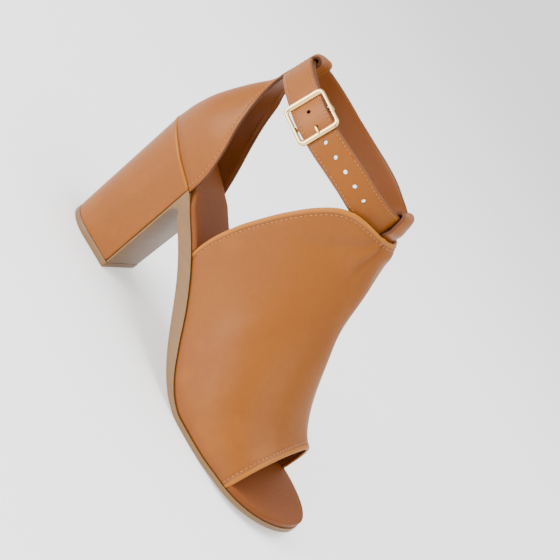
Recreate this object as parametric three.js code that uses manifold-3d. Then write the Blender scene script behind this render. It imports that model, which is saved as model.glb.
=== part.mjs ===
// Right ankle boot sandal: open toe, closed heel cup, buckled ankle strap and covered block heel.
// Millimetres. x runs forward from the back of the seat, y to the inner side of the foot, z up.
import * as THREE from 'three';
import Module from 'manifold-3d';

const wasm = await Module();
wasm.setup();

const V = (x, y, z) => new THREE.Vector3(x, y, z);

// Driving sizes
const gap = 0.3;                 // clearance between pieces that touch
const soleLength = 218.5;
const ballWidth = 86;
const seatWidth = 48;
const heelHeight = 79.2;         // top of the block at the back of the seat
const toeSpring = 6;             // tip of the sole above the floor
const treadThickness = 3;        // outsole under the forefoot
const shankThickness = 7.8;      // outsole under the arch
const flapThickness = 1.2;       // outsole down the front of the heel
const flapInset = 0.8;           // flap's sides inside the heel's
const edgeBevel = 0.6;           // lower edge of the outsole
const insoleThickness = 3.4;
const wall = 2;                  // upper leather with its lining
const upperInset = 0.9;          // the upper stands this far inside the sole's edge
const seatLength = 42.7;         // back of the seat to the heel's front face
const baseLength = 39.6;
const baseWidth = 40;
const basePitch = 6.3;           // the heel's base starts this far ahead of the seat's back
const topPieceThickness = 3.8;
const toeOpening = 33.4;         // tip of the sole back to the vamp's front edge
const toeBoxHeight = 30.5;       // feather line up to the vamp's front edge
const gapLength = 29.1;          // side opening along the foot, from the heel's front to the vamp
const ringLength = 98;           // ankle strap's ring, along its middle
const ringWidth = 64;
const ringBack = 21;             // ring's back, ahead of the seat's back
const strapRise = 63.9;          // strap's middle above the top of the heel, at the sides
const strapBackLift = 5.2;
const strapFrontLift = -3;
const strapTuck = 5.4;           // strap's lower edge below the vamp's top edge
const strapLean = 5 * Math.PI / 180;
const strapWidth = 18;
const strapThickness = 2;
const holeRadius = 1.1;
const holePitch = 8.7;
const holeCount = 7;
const mouthEase = 5.2;           // strap's front to the inside of the vamp's top edge
const loopWidth = 18;
const loopThickness = 2;
const buckleLength = 24;         // along the strap
const buckleWidth = 23.4;        // across the strap
const buckleThickness = 1.8;
const endBarWidth = 3.2;
const railWidth = 1.9;
const buckleCorner = 3.4;
const centreBarRadius = 1;
const prongRadius = 0.75;
const buckleX = 54.3;            // centre bar, ahead of the seat's back
const barSink = 1.3;             // centre bar below the strap's usual middle
const lastHoleReach = 5.8;       // centre bar forward to the prong's hole

const leather = { color: 0xb87a46, roughness: 0.5, metalness: 0 };
const rim = { color: 0xc08450, roughness: 0.5, metalness: 0 };
const rubber = { color: 0xb29680, roughness: 0.75, metalness: 0 };
const gold = { color: 0xe3cf9f, roughness: 0.25, metalness: 1 };

// Smooth curve through the rows of a table that never overshoots them
function blend(rows, across, column) {
  const x = rows.map((row) => row[across]);
  const y = rows.map((row) => row[column]);
  const last = x.length - 1;
  const slope = (i) => (y[i + 1] - y[i]) / (x[i + 1] - x[i]);
  const tangent = x.map((_, i) => {
    if (i === 0) return slope(0);
    if (i === last) return slope(last - 1);
    const before = slope(i - 1);
    const after = slope(i);
    return before * after <= 0 ? 0 : 2 * before * after / (before + after);
  });
  return (at) => {
    if (at <= x[0]) return y[0] + tangent[0] * (at - x[0]);
    if (at >= x[last]) return y[last] + tangent[last] * (at - x[last]);
    let i = 0;
    while (at > x[i + 1]) i += 1;
    const span = x[i + 1] - x[i];
    const t = (at - x[i]) / span;
    const turn = t * t * (3 - 2 * t);
    const start = t * (1 - t) * (1 - t) * span * tangent[i];
    const end = t * t * (t - 1) * span * tangent[i + 1];
    return y[i] + (y[i + 1] - y[i]) * turn + start + end;
  };
}

const lerp = (a, b, t) => a + (b - a) * t;
const steps = (count) => Array.from({ length: count + 1 }, (_, i) => i / count);
const arch = (t, roundness) => (1 - Math.min(Math.abs(t), 1) ** roundness) ** (1 / roundness);

// Closed mesh from points and triangles, turned so that its faces point out
function body(points, faces) {
  let volume = 0;
  for (const [a, b, c] of faces) volume += points[a].dot(points[b].clone().cross(points[c]));
  const turned = volume < 0 ? faces.map(([a, b, c]) => [a, c, b]) : faces;
  const geometry = new THREE.BufferGeometry();
  geometry.setAttribute('position', new THREE.Float32BufferAttribute(points.flatMap((p) => [p.x, p.y, p.z]), 3));
  geometry.setIndex(turned.flat());
  return geometry;
}

function square(faces, a, b, c, d) {
  faces.push([a, b, c], [a, c, d]);
}

// Closed wall between two grids of points, rows by columns
function sheet(outer, inner) {
  const rows = outer.length;
  const columns = outer[0].length;
  const faces = [];
  const out = (i, j) => i * columns + j;
  const inn = (i, j) => rows * columns + i * columns + j;
  for (let i = 0; i < rows - 1; i += 1) {
    for (let j = 0; j < columns - 1; j += 1) {
      square(faces, out(i, j), out(i + 1, j), out(i + 1, j + 1), out(i, j + 1));
      square(faces, inn(i, j), inn(i, j + 1), inn(i + 1, j + 1), inn(i + 1, j));
    }
    square(faces, out(i, 0), inn(i, 0), inn(i + 1, 0), out(i + 1, 0));
    square(faces, out(i + 1, columns - 1), inn(i + 1, columns - 1), inn(i, columns - 1), out(i, columns - 1));
  }
  for (let j = 0; j < columns - 1; j += 1) {
    square(faces, out(0, j + 1), inn(0, j + 1), inn(0, j), out(0, j));
    square(faces, out(rows - 1, j), inn(rows - 1, j), inn(rows - 1, j + 1), out(rows - 1, j + 1));
  }
  return body([...outer.flat(), ...inner.flat()], faces);
}

// Closed body through convex rings that have the same number of points
function loft(rings) {
  const count = rings[0].length;
  const faces = [];
  for (let i = 0; i < rings.length - 1; i += 1) {
    for (let j = 0; j < count; j += 1) {
      const next = (j + 1) % count;
      square(faces, i * count + j, i * count + next, (i + 1) * count + next, (i + 1) * count + j);
    }
  }
  const end = (rings.length - 1) * count;
  for (let j = 1; j < count - 1; j += 1) {
    faces.push([0, j + 1, j], [end, end + j, end + j + 1]);
  }
  return body(rings.flat(), faces);
}

// Grid moved along its own normals, which are the row direction times the column direction
function offset(grid, distance) {
  const rows = grid.length - 1;
  const columns = grid[0].length - 1;
  return grid.map((row, i) => row.map((point, j) => {
    const along = grid[Math.min(i + 1, rows)][j].clone().sub(grid[Math.max(i - 1, 0)][j]);
    const across = grid[i][Math.min(j + 1, columns)].clone().sub(grid[i][Math.max(j - 1, 0)]);
    return point.clone().addScaledVector(along.cross(across).normalize(), distance);
  }));
}

// Boolean joins and cuts
function toSolid(geometry) {
  const index = new Map();
  const points = [];
  const position = geometry.getAttribute('position');
  const order = geometry.index ? Array.from(geometry.index.array) : [...Array(position.count).keys()];
  const faces = order.map((k) => {
    const place = [position.getX(k), position.getY(k), position.getZ(k)];
    const key = place.map((value) => Math.round(value * 1e4)).join();
    if (!index.has(key)) {
      index.set(key, points.length / 3);
      points.push(...place);
    }
    return index.get(key);
  });
  return new wasm.Manifold(new wasm.Mesh({
    numProp: 3,
    vertProperties: new Float32Array(points),
    triVerts: new Uint32Array(faces),
  }));
}

function fromSolid(solid) {
  const mesh = solid.getMesh();
  const geometry = new THREE.BufferGeometry();
  geometry.setAttribute('position', new THREE.BufferAttribute(Float32Array.from(mesh.vertProperties), 3));
  geometry.setIndex(Array.from(mesh.triVerts));
  return geometry;
}

// Foot line: height of the insole's underside and of the upper's lower edge along the shoe
const footRows = [
  { along: 0, heel: 1, spring: 0 },
  { along: 0.067, heel: 0.949, spring: 0 },
  { along: 0.135, heel: 0.883, spring: 0 },
  { along: 0.199, heel: 0.822, spring: 0 },
  { along: 0.254, heel: 0.731, spring: 0 },
  { along: 0.314, heel: 0.632, spring: 0 },
  { along: 0.373, heel: 0.521, spring: 0 },
  { along: 0.433, heel: 0.391, spring: 0 },
  { along: 0.506, heel: 0.211, spring: 0 },
  { along: 0.572, heel: 0.075, spring: 0 },
  { along: 0.611, heel: 0.023, spring: 0 },
  { along: 0.652, heel: 0, spring: 0 },
  { along: 0.749, heel: 0, spring: 0 },
  { along: 0.824, heel: 0, spring: 0.19 },
  { along: 0.893, heel: 0, spring: 0.42 },
  { along: 0.95, heel: 0, spring: 0.7 },
  { along: 1, heel: 0, spring: 1 },
];
const heelShare = blend(footRows, 'along', 'heel');
const springShare = blend(footRows, 'along', 'spring');
const treadTop = treadThickness + gap / 2;

function footLine(x) {
  const along = x / soleLength;
  return treadTop + (heelHeight - treadTop) * heelShare(along) + toeSpring * springShare(along);
}

// Sole outline seen from above: half widths as shares of the seat's and the ball's
const outlineRows = [
  { along: 0.135, seat: 1, outer: 0, inner: 0 },
  { along: 0.203, seat: 1, outer: 0, inner: 0 },
  { along: 0.328, seat: 0.75, outer: 0.17, inner: 0.17 },
  { along: 0.456, seat: 0.42, outer: 0.475, inner: 0.42 },
  { along: 0.57, seat: 0.12, outer: 0.816, inner: 0.745 },
  { along: 0.67, seat: 0, outer: 0.985, inner: 0.962 },
  { along: 0.731, seat: 0, outer: 1, inner: 1 },
  { along: 0.821, seat: 0, outer: 0.985, inner: 0.955 },
  { along: 1, seat: 0, outer: 0.985, inner: 0.955 },
];
const seatPart = blend(outlineRows, 'along', 'seat');
const outerPart = blend(outlineRows, 'along', 'outer');
const innerPart = blend(outlineRows, 'along', 'inner');
const seatRound = 0.135 * soleLength;
const toeRound = 0.178 * soleLength;
const toeSwing = 0.03 * ballWidth;
const innerSide = 1;
const outerSide = -1;

// Distance of the sole's edge from the middle line on one side
function halfWidth(x, side) {
  const along = Math.max(x / soleLength, outlineRows[0].along);
  const ball = side === innerSide ? innerPart(along) : outerPart(along);
  const full = seatPart(along) * seatWidth / 2 + ball * ballWidth / 2;
  const seat = x < seatRound ? arch(1 - x / seatRound, 2) : 1;
  const toe = Math.max((x - soleLength + toeRound) / toeRound, 0);
  const roundness = side === innerSide ? 1.8 : 2;
  return full * seat * arch(toe, roundness) + side * toeSwing * toe * toe;
}

// Outsole: tread and shank, then the flap down the front of the heel
const thicknessRows = [
  { along: 0.198, shank: 1 },
  { along: 0.429, shank: 1 },
  { along: 0.506, shank: 0.72 },
  { along: 0.57, shank: 0.3 },
  { along: 0.644, shank: 0 },
  { along: 1, shank: 0 },
];
const shankShare = blend(thicknessRows, 'along', 'shank');
const baseFront = basePitch + baseLength;

function heelFront(z) {
  return lerp(baseFront, seatLength, z / footLine(seatLength));
}

function heelHalf(z) {
  return lerp(baseWidth, seatWidth, z / footLine(seatLength)) / 2;
}

function soleTop(x) {
  return footLine(x) - gap / 2;
}

function soleUnder(x) {
  const rise = (soleTop(x + 1) - soleTop(x - 1)) / 2;
  const thickness = lerp(treadThickness, shankThickness, shankShare(x / soleLength));
  const length = Math.hypot(1, rise);
  return [x + rise * thickness / length, soleTop(x) - thickness / length];
}

function soleRing(top, under, innerHalf, outerHalf) {
  const bevelled = 0.7;
  return [
    V(top[0], innerHalf, top[1]),
    V(top[0], -outerHalf, top[1]),
    V(lerp(top[0], under[0], bevelled), -outerHalf, lerp(top[1], under[1], bevelled)),
    V(under[0], edgeBevel - outerHalf, under[1]),
    V(under[0], innerHalf - edgeBevel, under[1]),
    V(lerp(top[0], under[0], bevelled), innerHalf, lerp(top[1], under[1], bevelled)),
  ];
}

function outsole() {
  const rings = [];
  const tipStart = soleLength - toeRound;
  const tipEnd = soleLength - 0.25;
  for (const t of steps(12)) {
    const x = lerp(tipEnd, tipStart, 1 - Math.cos(t * Math.PI / 2));
    rings.push([[x, soleTop(x)], soleUnder(x), halfWidth(x, innerSide), halfWidth(x, outerSide)]);
  }
  const cornerX = 1.28 * seatLength;
  for (const t of steps(26).slice(1)) {
    const x = lerp(tipStart, cornerX, t);
    rings.push([[x, soleTop(x)], soleUnder(x), halfWidth(x, innerSide), halfWidth(x, outerSide)]);
  }
  const low = footLine(seatLength) - 2.2 * shankThickness;
  const under = new THREE.CubicBezierCurve(
    new THREE.Vector2(...soleUnder(cornerX)),
    new THREE.Vector2(seatLength + 0.8 * shankThickness, footLine(seatLength) - 1.25 * shankThickness),
    new THREE.Vector2(heelFront(low) + flapThickness, footLine(seatLength) - 1.25 * shankThickness),
    new THREE.Vector2(heelFront(low) + flapThickness, low),
  );
  const turn = 8;
  for (const t of steps(turn).slice(1)) {
    const p = under.getPoint(t);
    const down = Math.max(0, (t - 0.5) * 2);
    const x = lerp(cornerX, heelFront(soleTop(seatLength)), Math.min(1, t * 2));
    const z = lerp(soleTop(seatLength), low, down);
    const top = down > 0 ? [heelFront(z), z] : [x, soleTop(x)];
    const wide = lerp(halfWidth(cornerX, innerSide), heelHalf(z) - flapInset, t);
    rings.push([top, [p.x, p.y], wide, wide]);
  }
  for (const t of steps(5).slice(1)) {
    const z = lerp(low, topPieceThickness + gap, t);
    const half = heelHalf(z) - flapInset;
    rings.push([[heelFront(z), z], [heelFront(z) + flapThickness, z], half, half]);
  }
  return loft(rings.map((ring) => soleRing(...ring)));
}

// Heel block and top piece: round at the back, flat at the front
function heelOutline(front, back, half, depth, count = 12) {
  const points = [];
  for (const t of steps(count)) {
    const angle = t * Math.PI / 2;
    points.push([back + depth * (1 - Math.cos(angle)), half * Math.sin(angle)]);
  }
  points.push([lerp(back + depth, front, 0.5), half], [front, half]);
  const mirrored = points.slice(1).reverse().map(([x, y]) => [x, -y]);
  return [...mirrored, ...points];
}

const baseRound = 0.52 * baseLength;

function heelBlock() {
  const bottom = topPieceThickness + gap;
  const top = heelOutline(heelFront(soleTop(seatLength)) - gap, 0, seatWidth / 2, seatRound);
  const base = heelOutline(heelFront(bottom) - gap, basePitch, heelHalf(bottom), baseRound);
  const rings = steps(5).map((t) => top.map(([x, y], j) => {
    const px = lerp(base[j][0], x, t);
    const py = lerp(base[j][1], y, t ** 1.15);
    return V(px, py, lerp(bottom, soleTop(x), t));
  }));
  return loft(rings);
}

function heelTopPiece() {
  const front = baseFront + flapThickness;
  const outline = heelOutline(front, basePitch, heelHalf(0), baseRound);
  const low = outline.map(([x, y]) => V(x, y, 0));
  const high = outline.map(([x, y]) => V(x, y, topPieceThickness));
  return loft([low, high]);
}

// Insole: inside the walls of the upper, flush with the sole's edge in the openings
const vampRear = seatLength + gapLength;
const vampFront = soleLength - toeOpening;
const cupFront = seatLength + 1;
const rimInset = 0.6;
const covered = upperInset + wall + gap + 0.2;

function insole() {
  const top = (x) => footLine(x) + gap / 2 + insoleThickness;
  const under = (x) => footLine(x) + gap / 2;
  const back = covered;
  const front = soleLength - rimInset - 0.4;
  const marks = [
    ...steps(10).map((t) => lerp(back + 0.3, seatRound, 1 - Math.cos(t * Math.PI / 2))),
    lerp(seatRound, cupFront, 0.5),
    ...steps(5).map((t) => lerp(cupFront + gap, vampRear - gap, t)),
    ...steps(20).map((t) => lerp(vampRear - gap + 0.1, vampFront + gap - 0.1, t)),
    ...steps(12).map((t) => lerp(vampFront + gap, front, Math.sin(t * Math.PI / 2))),
  ].sort((a, b) => a - b);
  marks.splice(marks.indexOf(cupFront + gap), 0, cupFront + gap - 0.1);
  const inset = (x) => {
    const open = (x >= cupFront + gap && x <= vampRear - gap) || x >= vampFront + gap;
    return open ? rimInset : covered;
  };
  const inSeat = (x) => (seatWidth / 2 - covered) * arch(1 - (x - covered) / (seatRound - covered), 2);
  return loft(marks.map((x) => {
    const inner = x < seatRound ? inSeat(x) : Math.max(halfWidth(x, innerSide) - inset(x), 0.4);
    const outer = x < seatRound ? inSeat(x) : Math.max(halfWidth(x, outerSide) - inset(x), 0.4);
    const soft = 0.3 * insoleThickness;
    const shy = Math.min(soft, 0.3);
    return [
      V(x, inner, under(x)),
      V(x, inner, top(x) - soft),
      V(x, inner - shy, top(x)),
      V(x, shy - outer, top(x)),
      V(x, -outer, top(x) - soft),
      V(x, -outer, under(x)),
    ];
  }));
}

// Ankle ring: middle line of the strap, measured from the buckle's bar round the back of the heel
const ringMiddle = ringBack + ringLength / 2;
const liftRows = [
  { along: 0, back: 1, front: 0 },
  { along: 0.19, back: 0.5, front: 0 },
  { along: 0.34, back: 0.16, front: 0 },
  { along: 0.55, back: 0, front: 0 },
  { along: 0.7, back: 0, front: 0.12 },
  { along: 0.85, back: 0, front: 0.66 },
  { along: 1, back: 0, front: 1 },
];
const backLift = blend(liftRows, 'along', 'back');
const frontLift = blend(liftRows, 'along', 'front');
const strapLevel = heelHeight + strapRise;

function ringAt(angle) {
  const x = ringMiddle + ringLength / 2 * Math.cos(angle);
  const y = ringWidth / 2 * Math.sin(angle);
  const along = (x - ringBack) / ringLength;
  return V(x, y, strapLevel + strapBackLift * backLift(along) + strapFrontLift * frontLift(along));
}

const buckleAngle = -Math.acos((buckleX - ringMiddle) / (ringLength / 2));
const ringTurns = steps(720).map((t) => buckleAngle - t * 2 * Math.PI);
const ringLengths = [0];
for (let i = 1; i < ringTurns.length; i += 1) {
  ringLengths.push(ringLengths[i - 1] + ringAt(ringTurns[i]).distanceTo(ringAt(ringTurns[i - 1])));
}
const ringRound = ringLengths[ringLengths.length - 1];

function ringAngle(run) {
  const laps = Math.floor(run / ringRound);
  const rest = run - laps * ringRound;
  let i = 1;
  while (i < ringLengths.length - 1 && ringLengths[i] < rest) i += 1;
  const share = (rest - ringLengths[i - 1]) / (ringLengths[i] - ringLengths[i - 1]);
  return lerp(ringTurns[i - 1], ringTurns[i], share) - laps * 2 * Math.PI;
}

function ringRun(angle) {
  const share = (buckleAngle - angle) / (2 * Math.PI) * (ringTurns.length - 1);
  return ringLengths[Math.round(share)];
}

// Directions of the strap at one place: along, out of the ring and across its width
function ringFrame(angle) {
  const ahead = ringAt(angle - 0.01);
  const along = ahead.sub(ringAt(angle + 0.01)).normalize();
  const level = V(Math.cos(angle) * ringWidth, Math.sin(angle) * ringLength, 0).normalize();
  const out = level.multiplyScalar(Math.cos(strapLean)).setZ(Math.sin(strapLean));
  out.addScaledVector(along, -out.dot(along)).normalize();
  const up = along.clone().cross(out);
  if (up.z < 0) up.negate();
  return { along, out, up };
}

function onRing(angle, out, up) {
  const frame = ringFrame(angle);
  return ringAt(angle).addScaledVector(frame.out, out).addScaledVector(frame.up, up);
}

const backAngle = -Math.PI;
const frontAngle = 0;
const tail = (run) => ringRound + run;

// Strap: folded round the centre bar, once round the ankle, then over itself to its free end.
// Runs from the bar are shares of the buckle's length.
const foldRadius = centreBarRadius + gap + strapThickness / 2;
const layer = strapThickness + gap;
const foldRows = [
  { run: 0.625, out: -1 },
  { run: 0.354, out: -1.02 },
  { run: 0.188, out: -1.24 },
  { run: 0.083, out: -1.48 },
];
const underRows = [
  { run: 0.104, out: 0.473 },
  { run: 0.208, out: 0.141 },
  { run: 0.333, out: 0 },
];
const freeRows = [
  { run: -1.417, out: 0 },
  { run: -1.083, out: 0.1 },
  { run: -0.792, out: 0.5 },
  { run: -0.542, out: 0.93 },
  { run: -0.375, out: 1 },
  { run: -0.229, out: 1.22 },
  { run: 0, out: 1.46 },
  { run: 0.229, out: 1.22 },
  { run: 0.375, out: 1 },
  { run: 0.833, out: 1 },
];
const freeShare = blend(freeRows, 'run', 'out');
const freeLift = (run) => {
  const [first, last] = [freeRows[0].run, freeRows[freeRows.length - 1].run];
  return freeShare(THREE.MathUtils.clamp(run / buckleLength, first, last)) * layer;
};
const freeStart = freeRows[0].run * buckleLength;
const overBar = foldRadius - barSink;

function strapRoute() {
  const route = foldRows.map((row) => [row.run * buckleLength, row.out * layer]);
  for (const t of steps(6)) {
    const turn = -Math.PI / 2 + t * Math.PI;
    route.push([-foldRadius * Math.cos(turn), foldRadius * Math.sin(turn) - barSink]);
  }
  route.push(...underRows.map((row) => [row.run * buckleLength, row.out * overBar]));
  const first = 0.5 * buckleLength;
  const last = tail(freeStart);
  for (const t of steps(50)) route.push([lerp(first, last, t), 0]);
  const reach = ringRun(loopAngle(backAngle, outerSide)) - 3 * gap;
  for (const t of steps(30).slice(1)) {
    const run = lerp(freeStart, reach, t);
    route.push([tail(run), freeLift(run)]);
  }
  return route;
}

function boxAt(matrix, length, width, height) {
  const box = new THREE.BoxGeometry(length, width, height);
  return box.applyMatrix4(matrix);
}

function buckleMatrix(along = 0, across = 0, out = 0) {
  const frame = ringFrame(buckleAngle);
  const forward = frame.along.clone().negate();
  const matrix = new THREE.Matrix4().makeBasis(forward, frame.up, forward.clone().cross(frame.up));
  matrix.setPosition(ringAt(buckleAngle));
  return matrix.multiply(new THREE.Matrix4().makeTranslation(along, across, out));
}

function punch(run) {
  const angle = ringAngle(tail(run));
  const frame = ringFrame(angle);
  const pin = new THREE.CylinderGeometry(holeRadius, holeRadius, strapThickness + 0.5, 10);
  const matrix = new THREE.Matrix4().makeBasis(frame.along, frame.out, frame.along.clone().cross(frame.out));
  matrix.setPosition(onRing(angle, freeLift(run), 0));
  return toSolid(pin.applyMatrix4(matrix));
}

function strap() {
  const middle = strapRoute().map(([run, out]) => [1, -1].map((edge) => (
    onRing(ringAngle(run), out, edge * strapWidth / 2))));
  let solid = toSolid(sheet(offset(middle, strapThickness / 2), offset(middle, -strapThickness / 2)));
  const slotFront = foldRadius + strapThickness / 2 + 0.2;
  const slotBack = centreBarRadius + 2 * prongRadius + 3 * gap + 0.4;
  const slotTop = overBar + strapThickness / 2 + gap / 2;
  const slotLow = barSink + foldRadius + strapThickness / 2 + 0.5;
  const place = buckleMatrix((slotFront - slotBack) / 2, 0, (slotTop - slotLow) / 2);
  const slot = boxAt(place, slotFront + slotBack, 2 * (prongRadius + gap), slotTop + slotLow);
  solid = solid.subtract(toSolid(slot));
  for (let hole = 0; hole < holeCount; hole += 1) {
    solid = solid.subtract(punch(holePitch - lastHoleReach - hole * holePitch));
  }
  return fromSolid(solid);
}

// Buckle: flat frame with a dropped centre bar
const frameLow = overBar + strapThickness;

function roundedRect(length, width, corner) {
  const shape = new THREE.Shape();
  const x = length / 2;
  const y = width / 2;
  shape.moveTo(corner - x, -y);
  shape.lineTo(x - corner, -y);
  shape.absarc(x - corner, corner - y, corner, -Math.PI / 2, 0);
  shape.lineTo(x, y - corner);
  shape.absarc(x - corner, y - corner, corner, 0, Math.PI / 2);
  shape.lineTo(corner - x, y);
  shape.absarc(corner - x, y - corner, corner, Math.PI / 2, Math.PI);
  shape.lineTo(-x, corner - y);
  shape.absarc(corner - x, corner - y, corner, Math.PI, 1.5 * Math.PI);
  return shape;
}

function buckleFrame() {
  const bevel = 0.4;
  const shape = roundedRect(buckleLength - 2 * bevel, buckleWidth - 2 * bevel, buckleCorner);
  shape.holes.push(roundedRect(
    buckleLength - 2 * endBarWidth + 2 * bevel, buckleWidth - 2 * railWidth + 2 * bevel, 1.2));
  const frame = new THREE.ExtrudeGeometry(shape, {
    depth: buckleThickness - 2 * bevel, bevelEnabled: true, bevelThickness: bevel, bevelSize: bevel,
    bevelSegments: 1, curveSegments: 4,
  });
  let solid = toSolid(frame.applyMatrix4(buckleMatrix(0, 0, frameLow + bevel)));
  const railMiddle = (buckleWidth - railWidth) / 2;
  const bar = new THREE.CylinderGeometry(centreBarRadius, centreBarRadius, 2 * railMiddle, 14);
  solid = solid.add(toSolid(bar.applyMatrix4(buckleMatrix(0, 0, -barSink))));
  for (const side of [outerSide, innerSide]) {
    const postRise = frameLow + barSink + buckleThickness / 2;
    const place = buckleMatrix(0, side * railMiddle, postRise / 2 - barSink);
    const post = boxAt(place, 2 * centreBarRadius, railWidth, postRise + centreBarRadius);
    solid = solid.add(toSolid(post));
  }
  return fromSolid(solid);
}

// Prong: bent round the centre bar, up through its hole and down on the front bar
function prong() {
  const turn = centreBarRadius + gap + prongRadius;
  const toBuckle = buckleMatrix().invert();
  const hole = (out) => onRing(ringAngle(tail(-lastHoleReach)), out, 0).applyMatrix4(toBuckle);
  const strapOut = freeLift(-lastHoleReach);
  const rest = frameLow + buckleThickness + gap / 2 + prongRadius;
  const route = steps(8).map((t) => {
    const angle = lerp(-0.2, -1.5, t) * Math.PI;
    return V(turn * Math.cos(angle), 0, turn * Math.sin(angle) - barSink);
  });
  const entry = hole(strapOut - strapThickness / 2);
  const exit = hole(strapOut + strapThickness / 2);
  route.push(V(foldRadius + 0.2, 0, 0.5), V(entry.x - 1.5, 0, 0.25), V(entry.x - 0.35, 0, entry.z - 0.55));
  route.push(hole(strapOut), V(exit.x + 0.1, 0, exit.z + 0.3));
  route.push(V(exit.x + 0.9, 0, rest - 0.25), V(exit.x + 2.2, 0, rest), V(buckleLength / 2 - 0.8, 0, rest));
  const curve = new THREE.CatmullRomCurve3(route);
  const profile = new THREE.Shape().absarc(0, 0, prongRadius, 0, 2 * Math.PI);
  const rod = new THREE.ExtrudeGeometry(profile, { steps: 36, curveSegments: 3, extrudePath: curve });
  return fromSolid(toSolid(rod.applyMatrix4(buckleMatrix())));
}

// Vamp: patch between its toe edge, rear edge, lower edge and ridge
const mouthX = ringBack + ringLength + strapThickness / 2 + mouthEase - gap;
const mouthTop = strapLevel + strapFrontLift - strapWidth / 2 + strapTuck;
const ridgeRows = [
  { run: 0, back: 0, rise: 0, swing: 1 },
  { run: 0.043, back: 0.078, rise: 0.021, swing: 0.98 },
  { run: 0.102, back: 0.167, rise: 0.065, swing: 0.94 },
  { run: 0.217, back: 0.31, rise: 0.169, swing: 0.83 },
  { run: 0.378, back: 0.481, rise: 0.327, swing: 0.62 },
  { run: 0.545, back: 0.642, rise: 0.5, swing: 0.38 },
  { run: 0.716, back: 0.752, rise: 0.683, swing: 0.16 },
  { run: 0.835, back: 0.845, rise: 0.817, swing: 0.06 },
  { run: 0.93, back: 0.93, rise: 0.921, swing: 0.01 },
  { run: 1, back: 1, rise: 1, swing: 0 },
];
const rearRows = [
  { run: 0, along: 0, rise: 0 },
  { run: 0.035, along: 0, rise: 0.045 },
  { run: 0.107, along: 0.01, rise: 0.136 },
  { run: 0.261, along: 0.077, rise: 0.331 },
  { run: 0.401, along: 0.173, rise: 0.502 },
  { run: 0.545, along: 0.288, rise: 0.674 },
  { run: 0.681, along: 0.422, rise: 0.828 },
  { run: 0.788, along: 0.566, rise: 0.937 },
  { run: 0.869, along: 0.72, rise: 0.986 },
  { run: 0.94, along: 0.873, rise: 1.0 },
  { run: 1, along: 1, rise: 1.0 },
];
const vampSections = [
  { at: 0, swell: 0, widest: 0.06, round: 2.05 },
  { at: 0.25, swell: 0, widest: 0.07, round: 1.85 },
  { at: 0.5, swell: 0.04, widest: 0.1, round: 1.85 },
  { at: 0.75, swell: 0.35, widest: 0.26, round: 2 },
  { at: 1, swell: 1, widest: 0.48, round: 2.5 },
];
const ridgeSwing = 0.097 * ballWidth;
const mouthHalf = 0.94 * (ringWidth + strapThickness) / 2 + wall;
const tables = {
  ridgeBack: blend(ridgeRows, 'run', 'back'),
  ridgeRise: blend(ridgeRows, 'run', 'rise'),
  ridgeSwing: blend(ridgeRows, 'run', 'swing'),
  rearAlong: blend(rearRows, 'run', 'along'),
  rearRise: blend(rearRows, 'run', 'rise'),
  swell: blend(vampSections, 'at', 'swell'),
  widest: blend(vampSections, 'at', 'widest'),
  round: blend(vampSections, 'at', 'round'),
};
const upperFoot = (x) => footLine(x) + gap / 2;
const toeTop = upperFoot(vampFront) + toeBoxHeight;

const vampEdges = {
  foot: (u) => [lerp(vampFront, vampRear, u), upperFoot(lerp(vampFront, vampRear, u))],
  ridge: (u) => [
    lerp(vampFront + 0.9, mouthX, tables.ridgeBack(u)),
    lerp(toeTop, mouthTop, tables.ridgeRise(u)),
  ],
  toe: (v) => [lerp(vampFront, vampFront + 0.9, v), lerp(upperFoot(vampFront), toeTop, v)],
  rear: (v) => [
    lerp(vampRear, mouthX, tables.rearAlong(v)),
    lerp(upperFoot(vampRear), mouthTop, tables.rearRise(v)),
  ],
};

function vampSide(u, v) {
  const [foot, ridge] = [vampEdges.foot(u), vampEdges.ridge(u)];
  const [toe, rear] = [vampEdges.toe(v), vampEdges.rear(v)];
  return [0, 1].map((k) => {
    const edges = lerp(toe[k], rear[k], u) + lerp(foot[k], ridge[k], v);
    const front = lerp(vampEdges.foot(0)[k], vampEdges.ridge(0)[k], v);
    const back = lerp(vampEdges.foot(1)[k], vampEdges.ridge(1)[k], v);
    return edges - lerp(front, back, u);
  });
}

// u runs from the toe edge to the rear edge, w from the outer foot line over the ridge to the inner one
function vampPoint(u, w) {
  const side = w < 0 ? outerSide : innerSide;
  const widest = tables.widest(u);
  const angle = (1 - Math.abs(w)) * Math.PI / 2;
  const v = Math.sin(angle) ** 1.06;
  const [x, z] = vampSide(u, v);
  const footX = vampEdges.foot(u)[0];
  const foot = halfWidth(footX, side) - upperInset;
  const wide = foot + Math.max(mouthHalf - foot, 0) * tables.swell(u);
  const swing = ridgeSwing * tables.ridgeSwing(u);
  const open = v < widest
    ? lerp(foot / wide, 1, Math.sin(v / widest * Math.PI / 2))
    : arch((v - widest) / (1 - widest), tables.round(u));
  return V(x, swing * (1 - open) + side * wide * open, z);
}

// Place across the vamp of a point that lies y from the middle line
function vampAcross(u, y) {
  let [low, high] = [-0.6, 0.6];
  for (let turn = 0; turn < 30; turn += 1) {
    const w = (low + high) / 2;
    if (vampPoint(u, w).y < y) low = w;
    else high = w;
  }
  return low;
}

function vampGrid(rows, columns) {
  return steps(rows).map((u) => steps(columns).map((t) => vampPoint(u, lerp(-1, 1, t))));
}

// Edges that stand on the foot line keep their height when the wall is given its thickness
function standOnFoot(inner, outer, isEdge) {
  return inner.map((row, i) => row.map((point, j) => {
    if (!isEdge(i, j)) return point;
    return V(point.x, point.y, upperFoot(point.x));
  }));
}

function vamp() {
  const columns = 32;
  const outer = vampGrid(24, columns);
  const inner = standOnFoot(offset(outer, wall), outer, (i, j) => j === 0 || j === columns);
  return sheet(outer, inner);
}

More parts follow.
